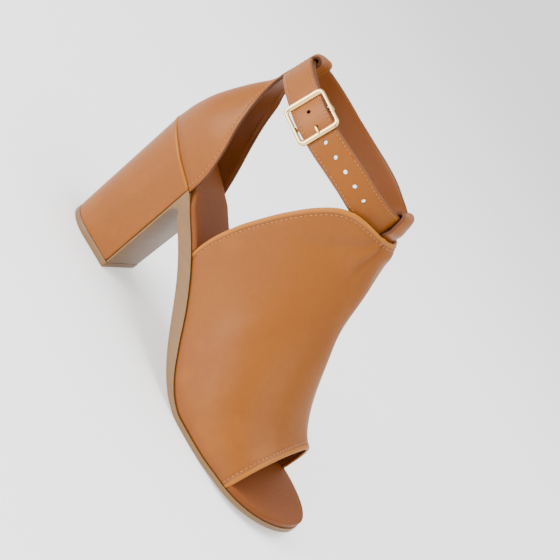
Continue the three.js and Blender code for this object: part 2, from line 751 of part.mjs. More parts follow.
// Heel cup: rows from the foot line up to its narrow top, which goes on as the strap's back loop
const cupRows = [
  { up: 0, back: 0, edge: 1, edgeInner: 1, half: 1, depth: 1 },
  { up: 0.17, back: 0.01, edge: 0.979, edgeInner: 0.858, half: 1.05, depth: 1 },
  { up: 0.37, back: 0.055, edge: 0.87, edgeInner: 0.686, half: 1.08, depth: 1 },
  { up: 0.57, back: 0.14, edge: 0.707, edgeInner: 0.565, half: 1.06, depth: 1.02 },
  { up: 0.78, back: 0.255, edge: 0.556, edgeInner: 0.494, half: 1.06, depth: 1.1 },
  { up: 0.9, back: 0.335, edge: 0.478, edgeInner: 0.449, half: 1.12, depth: 1.25 },
];
const loopClear = strapThickness / 2 + gap;
const loopOut = loopClear + loopThickness;
const strapHalf = strapWidth / 2;
const tabLow = -strapHalf - 1.5 * loopThickness;
const loopTurn = [0.17, 0.34, 0.5, 0.66, 0.83];

// Angle on the ring of a place across a loop, from its outer edge at -1 to its inner edge at 1
function loopAngle(start, q) {
  return start + Math.cos(start) * Math.asin(q * loopWidth / ringWidth);
}

function cupRow(row) {
  const start = onRing(backAngle, loopOut, tabLow);
  const back = row.back * cupFront;
  const rise = lerp(upperFoot(0), start.z, row.up);
  return (q) => {
    const reach = (q < 0 ? row.edge : row.edgeInner) * cupFront;
    const depth = row.depth * seatRound;
    const half = row.half * (seatWidth / 2 - 0.4);
    const length = reach - back;
    const bend = Math.min(Math.acos(Math.max(1 - length / depth, 0)), Math.PI / 2);
    const straight = Math.max(length - depth, 0);
    const curved = bend * (depth + half) / 2;
    const run = Math.abs(q) * (curved + straight);
    const angle = Math.min(run / curved, 1) * bend;
    const past = Math.max(run - curved, 0);
    const x = back + depth * (1 - Math.cos(angle)) + past;
    const y = Math.sign(q) * half * Math.sin(angle);
    const drop = (upperFoot(x) - upperFoot(0)) * (1 - row.up) ** 0.8;
    return V(x, y, rise + drop);
  };
}

function heelCup() {
  const rows = cupRows.map(cupRow);
  const ringRow = (out, up) => (q) => onRing(loopAngle(backAngle, q), out, up);
  rows.push(ringRow(loopOut, tabLow));
  rows.push(ringRow(loopOut + 0.2, -strapHalf), ringRow(loopOut, -0.4 * strapHalf));
  rows.push(ringRow(loopOut, 0.4 * strapHalf), ringRow(loopOut, strapHalf));
  for (const t of loopTurn) {
    const turn = t * Math.PI;
    rows.push(ringRow(loopOut * Math.cos(turn), strapHalf + loopOut * Math.sin(turn)));
  }
  rows.push(ringRow(-loopOut, strapHalf), ringRow(-loopOut, 0.2 * strapHalf));
  rows.push(ringRow(-loopOut, -0.5 * strapHalf));
  const columns = 26;
  const spans = [2, 3, 3, 3, 2, 2, 1, 1, 1, 1, 1, 1, 1, 1, 1, 1, 1, 1];
  const lines = steps(columns).map((t) => {
    const q = lerp(-1, 1, t);
    return new THREE.CatmullRomCurve3(rows.map((row) => row(q)), false, 'centripetal');
  });
  const marks = [0];
  for (let k = 0; k < rows.length - 1; k += 1) {
    for (let part = 1; part <= spans[k]; part += 1) marks.push((k + part / spans[k]) / (rows.length - 1));
  }
  const outer = marks.map((mark) => lines.map((line) => line.getPoint(mark)));
  const inner = standOnFoot(offset(outer, -wall), outer, (i) => i === 0);
  return sheet(outer, inner);
}

// Front loop: from inside the vamp, up behind the strap, over its top and down again inside the vamp
const innerLeg = [0.885, 0.905];
const behindStrap = [
  { out: 0.7, drop: 1.45, up: -1 },
  { out: -0.6, drop: 1.2, up: -1 },
  { out: -1.13, drop: 0, up: -0.8 },
  { out: -1, drop: 0, up: -0.2 },
  { out: -1, drop: 0, up: 0.5 },
  { out: -1, drop: 0, up: 1 },
];
const frontTurn = [0.75, 0.5, 0.25, 0];
const beforeStrap = [
  { out: 1.3, drop: 0, up: 0.55 },
  { out: 1.5, drop: 0, up: 0.12 },
  { out: 1.02, drop: 0, up: -0.52 },
];
const outerLeg = [0.974, 0.955];

function frontLoop() {
  const half = loopThickness / 2;
  const clear = loopClear + half;
  const inside = -wall - 1.5 * gap - half;
  const onVamp = (u) => (q) => {
    const w = vampAcross(u, q * loopWidth / 2);
    const step = 0.004;
    const p = vampPoint(u, w);
    const along = vampPoint(u - step, w).sub(p);
    const across = vampPoint(u, w + step).sub(p);
    return p.addScaledVector(along.cross(across).normalize(), inside);
  };
  const byStrap = (out, up) => (q) => onRing(loopAngle(frontAngle, q), out, up);
  const beside = (row) => byStrap(row.out * clear, row.up * strapHalf - row.drop * clear);
  const rows = [...innerLeg.map(onVamp), ...behindStrap.map(beside)];
  for (const t of frontTurn) {
    const turn = t * Math.PI;
    rows.push(byStrap(clear * Math.cos(turn), strapHalf + clear * Math.sin(turn)));
  }
  rows.push(...beforeStrap.map(beside), ...outerLeg.map(onVamp));
  const lines = steps(8).map((t) => (
    new THREE.CatmullRomCurve3(rows.map((row) => row(lerp(-1, 1, t))), false, 'centripetal')));
  const middle = steps(28).map((t) => lines.map((line) => line.getPoint(t)));
  return sheet(offset(middle, half), offset(middle, -half));
}

// Assembly
function piece(name, geometry, finish) {
  const mesh = new THREE.Mesh(geometry, new THREE.MeshStandardMaterial(finish));
  mesh.name = name;
  return mesh;
}

const shoe = new THREE.Group();
shoe.add(
  piece('outsole', outsole(), rubber),
  piece('insole', insole(), rim),
  piece('heel_block', heelBlock(), leather),
  piece('heel_top_piece', heelTopPiece(), rubber),
  piece('vamp', vamp(), leather),
  piece('counter_and_back_loop', heelCup(), leather),
  piece('front_loop', frontLoop(), leather),
  piece('ankle_strap', strap(), leather),
  piece('buckle_frame', buckleFrame(), gold),
  piece('buckle_prong', prong(), gold),
);

// The origin is under the middle of the shoe, on the floor
const box = new THREE.Box3().setFromObject(shoe);
const middle = box.getCenter(new THREE.Vector3());
shoe.position.set(-middle.x, -middle.y, -box.min.z);

const ankleBootSandal = new THREE.Group();
ankleBootSandal.add(shoe);
export default ankleBootSandal;
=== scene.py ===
"""Right ankle boot sandal in tan leather.

Open toe, cut-away sides, buckled ankle strap and covered block heel.
"""

import math

import bmesh
import bpy
import numpy as np
from bpy.props import FloatProperty, FloatVectorProperty, PointerProperty
from mathutils import Matrix, Vector


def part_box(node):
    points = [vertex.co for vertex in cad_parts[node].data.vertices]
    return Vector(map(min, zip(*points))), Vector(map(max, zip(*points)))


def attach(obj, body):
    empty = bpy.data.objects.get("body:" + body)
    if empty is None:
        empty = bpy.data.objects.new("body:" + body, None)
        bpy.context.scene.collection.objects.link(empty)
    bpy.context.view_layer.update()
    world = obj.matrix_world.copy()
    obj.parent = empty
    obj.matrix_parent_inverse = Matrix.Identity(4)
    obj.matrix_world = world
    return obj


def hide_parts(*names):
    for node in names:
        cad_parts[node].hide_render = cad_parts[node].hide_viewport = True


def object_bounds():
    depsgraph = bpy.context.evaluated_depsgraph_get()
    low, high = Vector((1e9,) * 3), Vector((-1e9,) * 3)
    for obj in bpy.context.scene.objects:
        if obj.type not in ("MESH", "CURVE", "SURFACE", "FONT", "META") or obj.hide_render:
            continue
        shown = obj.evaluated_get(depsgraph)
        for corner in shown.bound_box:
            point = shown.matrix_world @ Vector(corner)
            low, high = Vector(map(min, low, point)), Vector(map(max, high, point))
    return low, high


bl_info = {
    "name": "Ankle boot sandal",
    "version": (1, 0, 0),
    "blender": (4, 5, 0),
    "location": "View3D > Sidebar > Sandal",
    "description": "Dresses the solids of an ankle boot sandal in leather, thread, sole and gold",
    "category": "Mesh",
}

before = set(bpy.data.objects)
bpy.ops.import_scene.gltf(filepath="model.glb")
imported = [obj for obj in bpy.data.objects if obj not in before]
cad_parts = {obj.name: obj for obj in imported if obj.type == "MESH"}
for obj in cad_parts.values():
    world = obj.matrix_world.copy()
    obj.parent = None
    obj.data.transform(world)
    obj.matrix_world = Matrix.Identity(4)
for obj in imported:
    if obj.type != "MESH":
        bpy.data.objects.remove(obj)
CAD_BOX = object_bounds()
MM = 0.001

# Sizes of the shoe in millimetres: x forward from the back of the seat, y to the inner side, z up
GAP = 0.3
SOLE_LENGTH = 218.5
BALL_WIDTH = 86
SEAT_WIDTH = 48
HEEL_HEIGHT = 79.2
TOE_SPRING = 6
TREAD_THICKNESS = 3
SHANK_THICKNESS = 7.8
FLAP_THICKNESS = 1.2
FLAP_INSET = 0.8
INSOLE_THICKNESS = 3.4
WALL = 2
UPPER_INSET = 0.9
SEAT_LENGTH = 42.7
BASE_LENGTH = 39.6
BASE_WIDTH = 40
BASE_PITCH = 6.3
TOP_PIECE_THICKNESS = 3.8
TOE_OPENING = 33.4
TOE_BOX_HEIGHT = 30.5
GAP_LENGTH = 29.1
RING_LENGTH = 98
RING_WIDTH = 64
RING_BACK = 21
STRAP_RISE = 63.9
STRAP_BACK_LIFT = 5.2
STRAP_FRONT_LIFT = -3
STRAP_TUCK = 5.4
STRAP_LEAN = math.radians(5)
STRAP_WIDTH = 18
STRAP_THICKNESS = 2
HOLE_RADIUS = 1.1
HOLE_PITCH = 8.7
HOLE_COUNT = 7
MOUTH_EASE = 5.2
LOOP_WIDTH = 18
LOOP_THICKNESS = 2
BUCKLE_LENGTH = 24
BUCKLE_WIDTH = 23.4
BUCKLE_THICKNESS = 1.8
END_BAR_WIDTH = 3.2
RAIL_WIDTH = 1.9
BUCKLE_CORNER = 3.4
CENTRE_BAR_RADIUS = 1
PRONG_RADIUS = 0.75
BUCKLE_X = 54.3
BAR_SINK = 1.3
LAST_HOLE_REACH = 5.8

INNER = 1
OUTER = -1

# The heel's top piece ends at a known place, which ties the shoe's millimetres to the frame
TOP_PIECE_FRONT = BASE_PITCH + BASE_LENGTH + FLAP_THICKNESS
TOP_PIECE_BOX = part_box("heel_top_piece")
SHIFT = np.array([
    TOP_PIECE_BOX[1].x / MM - TOP_PIECE_FRONT,
    (TOP_PIECE_BOX[0].y + TOP_PIECE_BOX[1].y) / 2 / MM,
    0,
])


class SandalSizes(bpy.types.PropertyGroup):
    stitch_pitch: FloatProperty(
        name="Stitch pitch", description="Distance from one stitch to the next",
        default=2.6 * MM, unit="LENGTH")
    stitch_length: FloatProperty(
        name="Stitch length", description="Visible length of a stitch", default=2.1 * MM, unit="LENGTH")
    thread_width: FloatProperty(
        name="Thread width", description="Width of the sewing thread", default=0.52 * MM, unit="LENGTH")
    vamp_stitch_inset: FloatProperty(
        name="Vamp stitch inset", description="Stitch row to the vamp's folded edge",
        default=2.9 * MM, unit="LENGTH")
    cup_stitch_inset: FloatProperty(
        name="Heel cup stitch inset", description="Stitch row to the heel cup's edge",
        default=2.6 * MM, unit="LENGTH")
    strap_stitch_inset: FloatProperty(
        name="Strap stitch inset", description="Stitch row to the strap's edge",
        default=1.8 * MM, unit="LENGTH")
    pucker_depth: FloatProperty(
        name="Pucker depth", description="Depth of the folds under the front loop",
        default=1.5 * MM, unit="LENGTH")
    grain_size: FloatProperty(
        name="Grain size", description="Size of the leather's grain", default=0.9 * MM, unit="LENGTH")
    view_azimuth: FloatProperty(
        name="View azimuth", description="Camera's turn round the shoe",
        default=math.radians(11.7), subtype="ANGLE")
    view_elevation: FloatProperty(
        name="View elevation", description="Camera's height as an angle",
        default=math.radians(16.0), subtype="ANGLE")
    view_roll: FloatProperty(
        name="View roll", description="Camera's roll, as the shoe is tilted in the photograph",
        default=math.radians(-54.7), subtype="ANGLE")
    view_distance: FloatProperty(
        name="View distance", description="Camera to the shoe", default=0.79, unit="LENGTH")
    view_lens: FloatProperty(
        name="Lens", description="Focal length in millimetres", default=96)


class SandalColours(bpy.types.PropertyGroup):
    leather: FloatVectorProperty(
        name="Leather", description="Tan upper leather", subtype="COLOR", default=(0.228, 0.068, 0.0030))
    # Darker tan: the leather's random mottle, and also painted shade near the foot line and along the stitch
    # grooves
    leather_dark_and_shade: FloatVectorProperty(
        name="Dark leather and painted shade", description="Darker tan in folds and under edges",
        subtype="COLOR", default=(0.14, 0.030, 0.003))
    # Lighter tan: the leather's random lighter patches, and also a painted highlight on folded edges
    leather_light_and_highlight: FloatVectorProperty(
        name="Light leather and painted highlight", description="Lighter tan on folded edges",
        subtype="COLOR", default=(0.385, 0.135, 0.010))
    painted_edge: FloatVectorProperty(
        name="Painted edge", description="Dark paint on cut edges", subtype="COLOR",
        default=(0.080, 0.024, 0.005))
    lining: FloatVectorProperty(
        name="Lining", description="Smooth tan lining", subtype="COLOR", default=(0.175, 0.046, 0.004))
    insole: FloatVectorProperty(
        name="Insole", description="Leather of the insole", subtype="COLOR", default=(0.150, 0.038, 0.0016))
    thread: FloatVectorProperty(
        name="Thread", description="Sewing thread", subtype="COLOR", default=(0.36, 0.140, 0.018))
    sole: FloatVectorProperty(
        name="Sole", description="Grey-taupe moulded sole", subtype="COLOR",
        default=(0.160, 0.080, 0.025))
    gold: FloatVectorProperty(
        name="Gold", description="Pale gold plate", subtype="COLOR", default=(0.85, 0.57, 0.22))
    floor: FloatVectorProperty(
        name="Floor", description="Pale floor", subtype="COLOR", default=(0.95, 0.95, 0.95))


def sizes():
    return bpy.context.scene.sandal_sizes


def colours():
    return bpy.context.scene.sandal_colours


# Curves and surfaces of the shoe, the same as the solids'


def blend(rows, column):
    """Smooth curve through a column of a table that never overshoots the rows."""
    x = np.array([row[0] for row in rows], float)
    y = np.array([row[column] for row in rows], float)
    slope = np.diff(y) / np.diff(x)
    product = slope[:-1] * slope[1:]
    total = np.where(slope[:-1] + slope[1:] == 0, 1, slope[:-1] + slope[1:])
    middle = np.where(product > 0, 2 * product / total, 0)
    tangent = np.concatenate([slope[:1], middle, slope[-1:]])

    def value(at):
        at = np.asarray(at, float)
        i = np.clip(np.searchsorted(x, at) - 1, 0, len(x) - 2)
        span = x[i + 1] - x[i]
        t = (at - x[i]) / span
        inside = y[i] + (y[i + 1] - y[i]) * t * t * (3 - 2 * t)
        inside = inside + t * (1 - t) ** 2 * span * tangent[i] + t * t * (t - 1) * span * tangent[i + 1]
        before = y[0] + tangent[0] * (at - x[0])
        after = y[-1] + tangent[-1] * (at - x[-1])
        return np.where(at < x[0], before, np.where(at > x[-1], after, inside))

    return value


def lerp(a, b, t):
    return a + (b - a) * t


def arch(t, roundness):
    return (1 - np.minimum(np.abs(t), 1) ** roundness) ** (1 / roundness)


def smooth(edge0, edge1, value):
    t = np.clip((value - edge0) / (edge1 - edge0), 0, 1)
    return t * t * (3 - 2 * t)


def stack(x, y, z):
    return np.stack(np.broadcast_arrays(x, y, z), axis=-1).astype(float)


def unit(v):
    return v / np.maximum(np.linalg.norm(v, axis=-1, keepdims=True), 1e-9)


# Foot line: share along the sole, share of the heel's height, share of the toe spring
FOOT_ROWS = [
    (0, 1, 0), (0.067, 0.949, 0), (0.135, 0.883, 0), (0.199, 0.822, 0), (0.254, 0.731, 0),
    (0.314, 0.632, 0), (0.373, 0.521, 0), (0.433, 0.391, 0), (0.506, 0.211, 0), (0.572, 0.075, 0),
    (0.611, 0.023, 0), (0.652, 0, 0), (0.749, 0, 0), (0.824, 0, 0.19), (0.893, 0, 0.42),
    (0.95, 0, 0.7), (1, 0, 1),
]
heel_share = blend(FOOT_ROWS, 1)
spring_share = blend(FOOT_ROWS, 2)
TREAD_TOP = TREAD_THICKNESS + GAP / 2


def foot_line(x):
    along = np.asarray(x, float) / SOLE_LENGTH
    return TREAD_TOP + (HEEL_HEIGHT - TREAD_TOP) * heel_share(along) + TOE_SPRING * spring_share(along)


# Sole outline: share along the sole, share of the seat's width, of the ball's outside and inside
OUTLINE_ROWS = [
    (0.135, 1, 0, 0), (0.203, 1, 0, 0), (0.327, 0.75, 0.17, 0.17), (0.456, 0.42, 0.475, 0.42),
    (0.57, 0.12, 0.816, 0.745), (0.67, 0, 0.985, 0.962), (0.73, 0, 1, 1), (0.821, 0, 0.985, 0.955),
    (1, 0, 0.985, 0.955),
]
seat_part = blend(OUTLINE_ROWS, 1)
outer_part = blend(OUTLINE_ROWS, 2)
inner_part = blend(OUTLINE_ROWS, 3)
SEAT_ROUND = 0.135 * SOLE_LENGTH
TOE_ROUND = 0.178 * SOLE_LENGTH
TOE_SWING = 0.03 * BALL_WIDTH


def half_width(x, side):
    """Distance of the sole's edge from the middle line on one side."""
    x = np.asarray(x, float)
    along = np.maximum(x / SOLE_LENGTH, OUTLINE_ROWS[0][0])
    ball = inner_part(along) if side == INNER else outer_part(along)
    full = seat_part(along) * SEAT_WIDTH / 2 + ball * BALL_WIDTH / 2
    seat = np.where(x < SEAT_ROUND, arch(1 - x / SEAT_ROUND, 2), 1)
    toe = np.maximum((x - SOLE_LENGTH + TOE_ROUND) / TOE_ROUND, 0)
    return full * seat * arch(toe, 1.8 if side == INNER else 2) + side * TOE_SWING * toe * toe


SHANK_ROWS = [(0.197, 1), (0.429, 1), (0.506, 0.72), (0.57, 0.3), (0.644, 0), (1, 0)]
shank_share = blend(SHANK_ROWS, 1)
BASE_FRONT = BASE_PITCH + BASE_LENGTH


def heel_front(z):
    return lerp(BASE_FRONT, SEAT_LENGTH, z / foot_line(SEAT_LENGTH))


def heel_half(z):
    return lerp(BASE_WIDTH, SEAT_WIDTH, z / foot_line(SEAT_LENGTH)) / 2


def sole_top(x):
    return foot_line(x) - GAP / 2


def sole_under(x):
    rise = (sole_top(x + 1) - sole_top(x - 1)) / 2
    thickness = lerp(TREAD_THICKNESS, SHANK_THICKNESS, shank_share(x / SOLE_LENGTH))
    length = np.hypot(1, rise)
    return x + rise * thickness / length, sole_top(x) - thickness / length


# Ankle ring: share along the ring, share of the back lift, share of the front lift
LIFT_ROWS = [
    (0, 1, 0), (0.19, 0.5, 0), (0.34, 0.16, 0), (0.55, 0, 0), (0.7, 0, 0.12), (0.85, 0, 0.66), (1, 0, 1),
]
back_lift = blend(LIFT_ROWS, 1)
front_lift = blend(LIFT_ROWS, 2)
STRAP_LEVEL = HEEL_HEIGHT + STRAP_RISE
RING_MIDDLE = RING_BACK + RING_LENGTH / 2


def ring_at(angle):
    x = RING_MIDDLE + RING_LENGTH / 2 * np.cos(angle)
    y = RING_WIDTH / 2 * np.sin(angle)
    along = (x - RING_BACK) / RING_LENGTH
    z = STRAP_LEVEL + STRAP_BACK_LIFT * back_lift(along) + STRAP_FRONT_LIFT * front_lift(along)
    return stack(x, y, z)


def ring_frame(angle):
    """Directions of the strap: along, out of the ring and across its width."""
    along = unit(ring_at(angle - 0.01) - ring_at(angle + 0.01))
    level = unit(stack(np.cos(angle) * RING_WIDTH, np.sin(angle) * RING_LENGTH, 0))
    out = level * math.cos(STRAP_LEAN) + np.array([0, 0, math.sin(STRAP_LEAN)])
    out = unit(out - along * np.sum(out * along, axis=-1, keepdims=True))
    up = np.cross(along, out)
    up = np.where(up[..., 2:] < 0, -up, up)
    return along, out, up


def on_ring(angle, out, up):
    angle = np.asarray(angle, float)
    frames = ring_frame(angle)
    return ring_at(angle) + frames[1] * np.asarray(out)[..., None] + frames[2] * np.asarray(up)[..., None]


BUCKLE_ANGLE = -math.acos((BUCKLE_X - RING_MIDDLE) / (RING_LENGTH / 2))
RING_TURNS = BUCKLE_ANGLE - np.linspace(0, 2 * math.pi, 721)
RING_STEPS = np.linalg.norm(np.diff(ring_at(RING_TURNS), axis=0), axis=1)
RING_RUNS = np.concatenate([[0], np.cumsum(RING_STEPS)])
RING_ROUND = RING_RUNS[-1]


def ring_angle(run):
    run = np.asarray(run, float)
    laps = np.floor(run / RING_ROUND)
    return np.interp(run - laps * RING_ROUND, RING_RUNS, RING_TURNS) - laps * 2 * math.pi


def ring_run(angle):
    return float(np.interp(-angle, -RING_TURNS, RING_RUNS))


BACK_ANGLE = -math.pi
FRONT_ANGLE = 0
STRAP_HALF = STRAP_WIDTH / 2
LOOP_CLEAR = STRAP_THICKNESS / 2 + GAP
LOOP_OUT = LOOP_CLEAR + LOOP_THICKNESS
TAB_LOW = -STRAP_HALF - 3


def loop_angle(start, q):
    return start + math.cos(start) * np.arcsin(np.asarray(q) * LOOP_WIDTH / RING_WIDTH)


# Vamp: patch between its toe edge, rear edge, lower edge and ridge
VAMP_REAR = SEAT_LENGTH + GAP_LENGTH
VAMP_FRONT = SOLE_LENGTH - TOE_OPENING
MOUTH_X = RING_BACK + RING_LENGTH + STRAP_THICKNESS / 2 + MOUTH_EASE - GAP
MOUTH_TOP = STRAP_LEVEL + STRAP_FRONT_LIFT - STRAP_WIDTH / 2 + STRAP_TUCK
RIDGE_SWING = 0.097 * BALL_WIDTH
MOUTH_HALF = 0.94 * (RING_WIDTH + STRAP_THICKNESS) / 2 + WALL
EDGE_LEAN = 0.9

# Ridge: share from toe to mouth, share back, share up, share of the swing to the inner side
RIDGE_ROWS = [
    (0, 0, 0, 1), (0.043, 0.078, 0.021, 0.98), (0.102, 0.167, 0.065, 0.94), (0.217, 0.31, 0.169, 0.83),
    (0.378, 0.481, 0.327, 0.62), (0.545, 0.642, 0.5, 0.38), (0.716, 0.752, 0.683, 0.16),
    (0.835, 0.845, 0.817, 0.06), (0.93, 0.93, 0.921, 0.01), (1, 1, 1, 0),
]
# Rear edge: share from the foot line to the mouth, share forward, share up
REAR_ROWS = [
    (0, 0, 0), (0.035, 0, 0.045), (0.107, 0.01, 0.136), (0.261, 0.077, 0.331), (0.401, 0.173, 0.502),
    (0.545, 0.288, 0.674), (0.681, 0.422, 0.828), (0.788, 0.566, 0.937), (0.869, 0.72, 0.986),
    (0.94, 0.873, 1), (1, 1, 1),
]
# Sections from the toe edge to the rear edge: share of the swell to the mouth, widest height, roundness
SECTION_ROWS = [
    (0, 0, 0.06, 2.05), (0.25, 0, 0.07, 1.85), (0.5, 0.04, 0.1, 1.85), (0.75, 0.35, 0.26, 2),
    (1, 1, 0.48, 2.5),
]
ridge_back, ridge_rise, ridge_swing = (blend(RIDGE_ROWS, column) for column in (1, 2, 3))
rear_along, rear_rise = (blend(REAR_ROWS, column) for column in (1, 2))
swell_share, widest_share, roundness_at = (blend(SECTION_ROWS, column) for column in (1, 2, 3))


def upper_foot(x):
    return foot_line(x) + GAP / 2


TOE_TOP = upper_foot(VAMP_FRONT) + TOE_BOX_HEIGHT


def vamp_side(u, v):
    """Side view of the vamp: x and z at shares u from toe edge to rear edge and v up from the foot line."""
    foot_x = lerp(VAMP_FRONT, VAMP_REAR, u)
    toe_tip = VAMP_FRONT + EDGE_LEAN
    edges = {
        "x": (foot_x, lerp(toe_tip, MOUTH_X, ridge_back(u)),
              lerp(VAMP_FRONT, toe_tip, v), lerp(VAMP_REAR, MOUTH_X, rear_along(v)),
              (VAMP_FRONT, toe_tip, VAMP_REAR, MOUTH_X)),
        "z": (upper_foot(foot_x), lerp(TOE_TOP, MOUTH_TOP, ridge_rise(u)),
              lerp(upper_foot(VAMP_FRONT), TOE_TOP, v),
              lerp(upper_foot(VAMP_REAR), MOUTH_TOP, rear_rise(v)),
              (upper_foot(VAMP_FRONT), TOE_TOP, upper_foot(VAMP_REAR), MOUTH_TOP)),
    }
    side = []
    for foot, ridge, toe, rear, corners in edges.values():
        between = lerp(lerp(corners[0], corners[1], v), lerp(corners[2], corners[3], v), u)
        side.append(lerp(toe, rear, u) + lerp(foot, ridge, v) - between)
    return side


def vamp_point(u, w):
    """w runs from the outer foot line at -1 over the ridge to the inner foot line at 1."""
    u, w = np.broadcast_arrays(np.asarray(u, float), np.asarray(w, float))
    v = np.sin((1 - np.abs(w)) * math.pi / 2) ** 1.06
    x, z = vamp_side(u, v)
    foot_x = lerp(VAMP_FRONT, VAMP_REAR, u)
    side = np.where(w < 0, OUTER, INNER)
    foot = np.where(w < 0, half_width(foot_x, OUTER), half_width(foot_x, INNER)) - UPPER_INSET
    wide = foot + np.maximum(MOUTH_HALF - foot, 0) * swell_share(u)
    widest = widest_share(u)
    low = lerp(foot / wide, 1, np.sin(np.minimum(v / widest, 1) * math.pi / 2))
    high = arch(np.clip((v - widest) / (1 - widest), 0, 1), roundness_at(u))
    open_share = np.where(v < widest, low, high)
    swing = RIDGE_SWING * ridge_swing(u)
    return stack(x, swing * (1 - open_share) + side * wide * open_share, z)


# Heel cup rows: share up, share back, outer edge, inner edge, half width, depth
CUP_ROWS = [
    (0, 0, 1, 1, 1, 1),
    (0.17, 0.01, 0.979, 0.858, 1.05, 1),
    (0.37, 0.055, 0.87, 0.686, 1.08, 1),
    (0.57, 0.14, 0.707, 0.565, 1.06, 1.02),
    (0.78, 0.255, 0.556, 0.494, 1.06, 1.1),
    (0.9, 0.335, 0.478, 0.449, 1.12, 1.25),
]
CUP_FRONT = SEAT_LENGTH + 1
LOOP_TURN = (0.17, 0.34, 0.5, 0.66, 0.83)


def cup_row(row, q):
    up, back_share, outer_edge, inner_edge, half_share, depth_share = row
    start = on_ring(BACK_ANGLE, LOOP_OUT, TAB_LOW)
    back = back_share * CUP_FRONT
    rise = lerp(upper_foot(0), start[2], up)
    reach = np.where(q < 0, outer_edge, inner_edge) * CUP_FRONT
    depth = depth_share * SEAT_ROUND
    half = half_share * (SEAT_WIDTH / 2 - 0.4)
    length = reach - back
    bend = np.minimum(np.arccos(np.maximum(1 - length / depth, 0)), math.pi / 2)
    straight = np.maximum(length - depth, 0)
    curved = bend * (depth + half) / 2
    run = np.abs(q) * (curved + straight)
    angle = np.minimum(run / curved, 1) * bend
    past = np.maximum(run - curved, 0)
    x = back + depth * (1 - np.cos(angle)) + past
    y = np.sign(q) * half * np.sin(angle)
    drop = (upper_foot(x) - upper_foot(0)) * (1 - up) ** 0.8
    return stack(x, y, rise + drop)


def cup_lines(q):
    """Rows of points for the heel cup and its loop, from the foot line to the loop's inner end."""
    def ring_row(out, up):
        return on_ring(loop_angle(BACK_ANGLE, q), out, up)

    rows = [cup_row(row, q) for row in CUP_ROWS]
    rows += [ring_row(LOOP_OUT, TAB_LOW), ring_row(LOOP_OUT + 0.2, -STRAP_HALF)]
    rows += [ring_row(LOOP_OUT, -STRAP_HALF * 0.4), ring_row(LOOP_OUT, STRAP_HALF * 0.4),
             ring_row(LOOP_OUT, STRAP_HALF)]
    for t in LOOP_TURN:
        turn = t * math.pi
        rows.append(ring_row(LOOP_OUT * math.cos(turn), STRAP_HALF + LOOP_OUT * math.sin(turn)))
    rows += [ring_row(-LOOP_OUT, STRAP_HALF), ring_row(-LOOP_OUT, 0.2 * STRAP_HALF),
             ring_row(-LOOP_OUT, -0.5 * STRAP_HALF)]
    return np.array(rows)


def spline(points, marks):
    """Centripetal curve through rows of points; marks count rows."""
    points = np.concatenate([2 * points[:1] - points[1:2], points, 2 * points[-1:] - points[-2:-1]])
    marks = np.asarray(marks, float)
    i = np.clip(np.floor(marks).astype(int), 0, len(points) - 4)
    t = (marks - i).reshape((-1,) + (1,) * (points.ndim - 1))
    p0, p1, p2, p3 = (points[i + k] for k in range(4))

    def knot(a, b):
        return np.maximum(np.linalg.norm(b - a, axis=-1, keepdims=True) ** 0.5, 1e-4)

    d0, d1, d2 = knot(p0, p1), knot(p1, p2), knot(p2, p3)
    start = ((p1 - p0) / d0 - (p2 - p0) / (d0 + d1) + (p2 - p1) / d1) * d1
    end = ((p2 - p1) / d1 - (p3 - p1) / (d1 + d2) + (p3 - p2) / d2) * d1
    a = 2 * p1 - 2 * p2 + start + end
    b = -3 * p1 + 3 * p2 - 2 * start - end
    return ((a * t + b) * t + start) * t + p1


def grid_normals(grid):
    along = np.gradient(grid, axis=0)
    across = np.gradient(grid, axis=1)
    return unit(np.cross(along, across))


# Meshes


def to_object(name, points, faces, values=None):
    """Object from points in shoe millimetres, with any named values kept as attributes."""
    mesh = bpy.data.meshes.new(name)
    mesh.from_pydata(((np.asarray(points) + SHIFT) * MM).tolist(), [], [list(face) for face in faces])
    for key, column in (values or {}).items():
        attribute = mesh.attributes.new(key, "FLOAT", "POINT")
        attribute.data.foreach_set("value", np.asarray(column, np.float32))
    piece = bpy.data.objects.new(name, mesh)
    bpy.context.scene.collection.objects.link(piece)
    recalculate(mesh)
    mesh.shade_smooth()
    return piece


def recalculate(mesh):
    work = bmesh.new()
    work.from_mesh(mesh)
    bmesh.ops.remove_doubles(work, verts=work.verts, dist=1e-7)
    bmesh.ops.recalc_face_normals(work, faces=work.faces)
    work.to_mesh(mesh)
    work.free()


def finish_piece(piece, slot, *nodes):
    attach(piece, "root")
    if nodes:
        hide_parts(*nodes)
    return piece


def ring_faces(rings, count, closed=True):
    """Side faces through rings of points that are numbered one ring after the other."""
    faces = []
    last = count if closed else count - 1
    for i in range(rings - 1):
        for j in range(last):
            k = (j + 1) % count
            faces.append((i * count + j, i * count + k, (i + 1) * count + k, (i + 1) * count + j))
    return faces


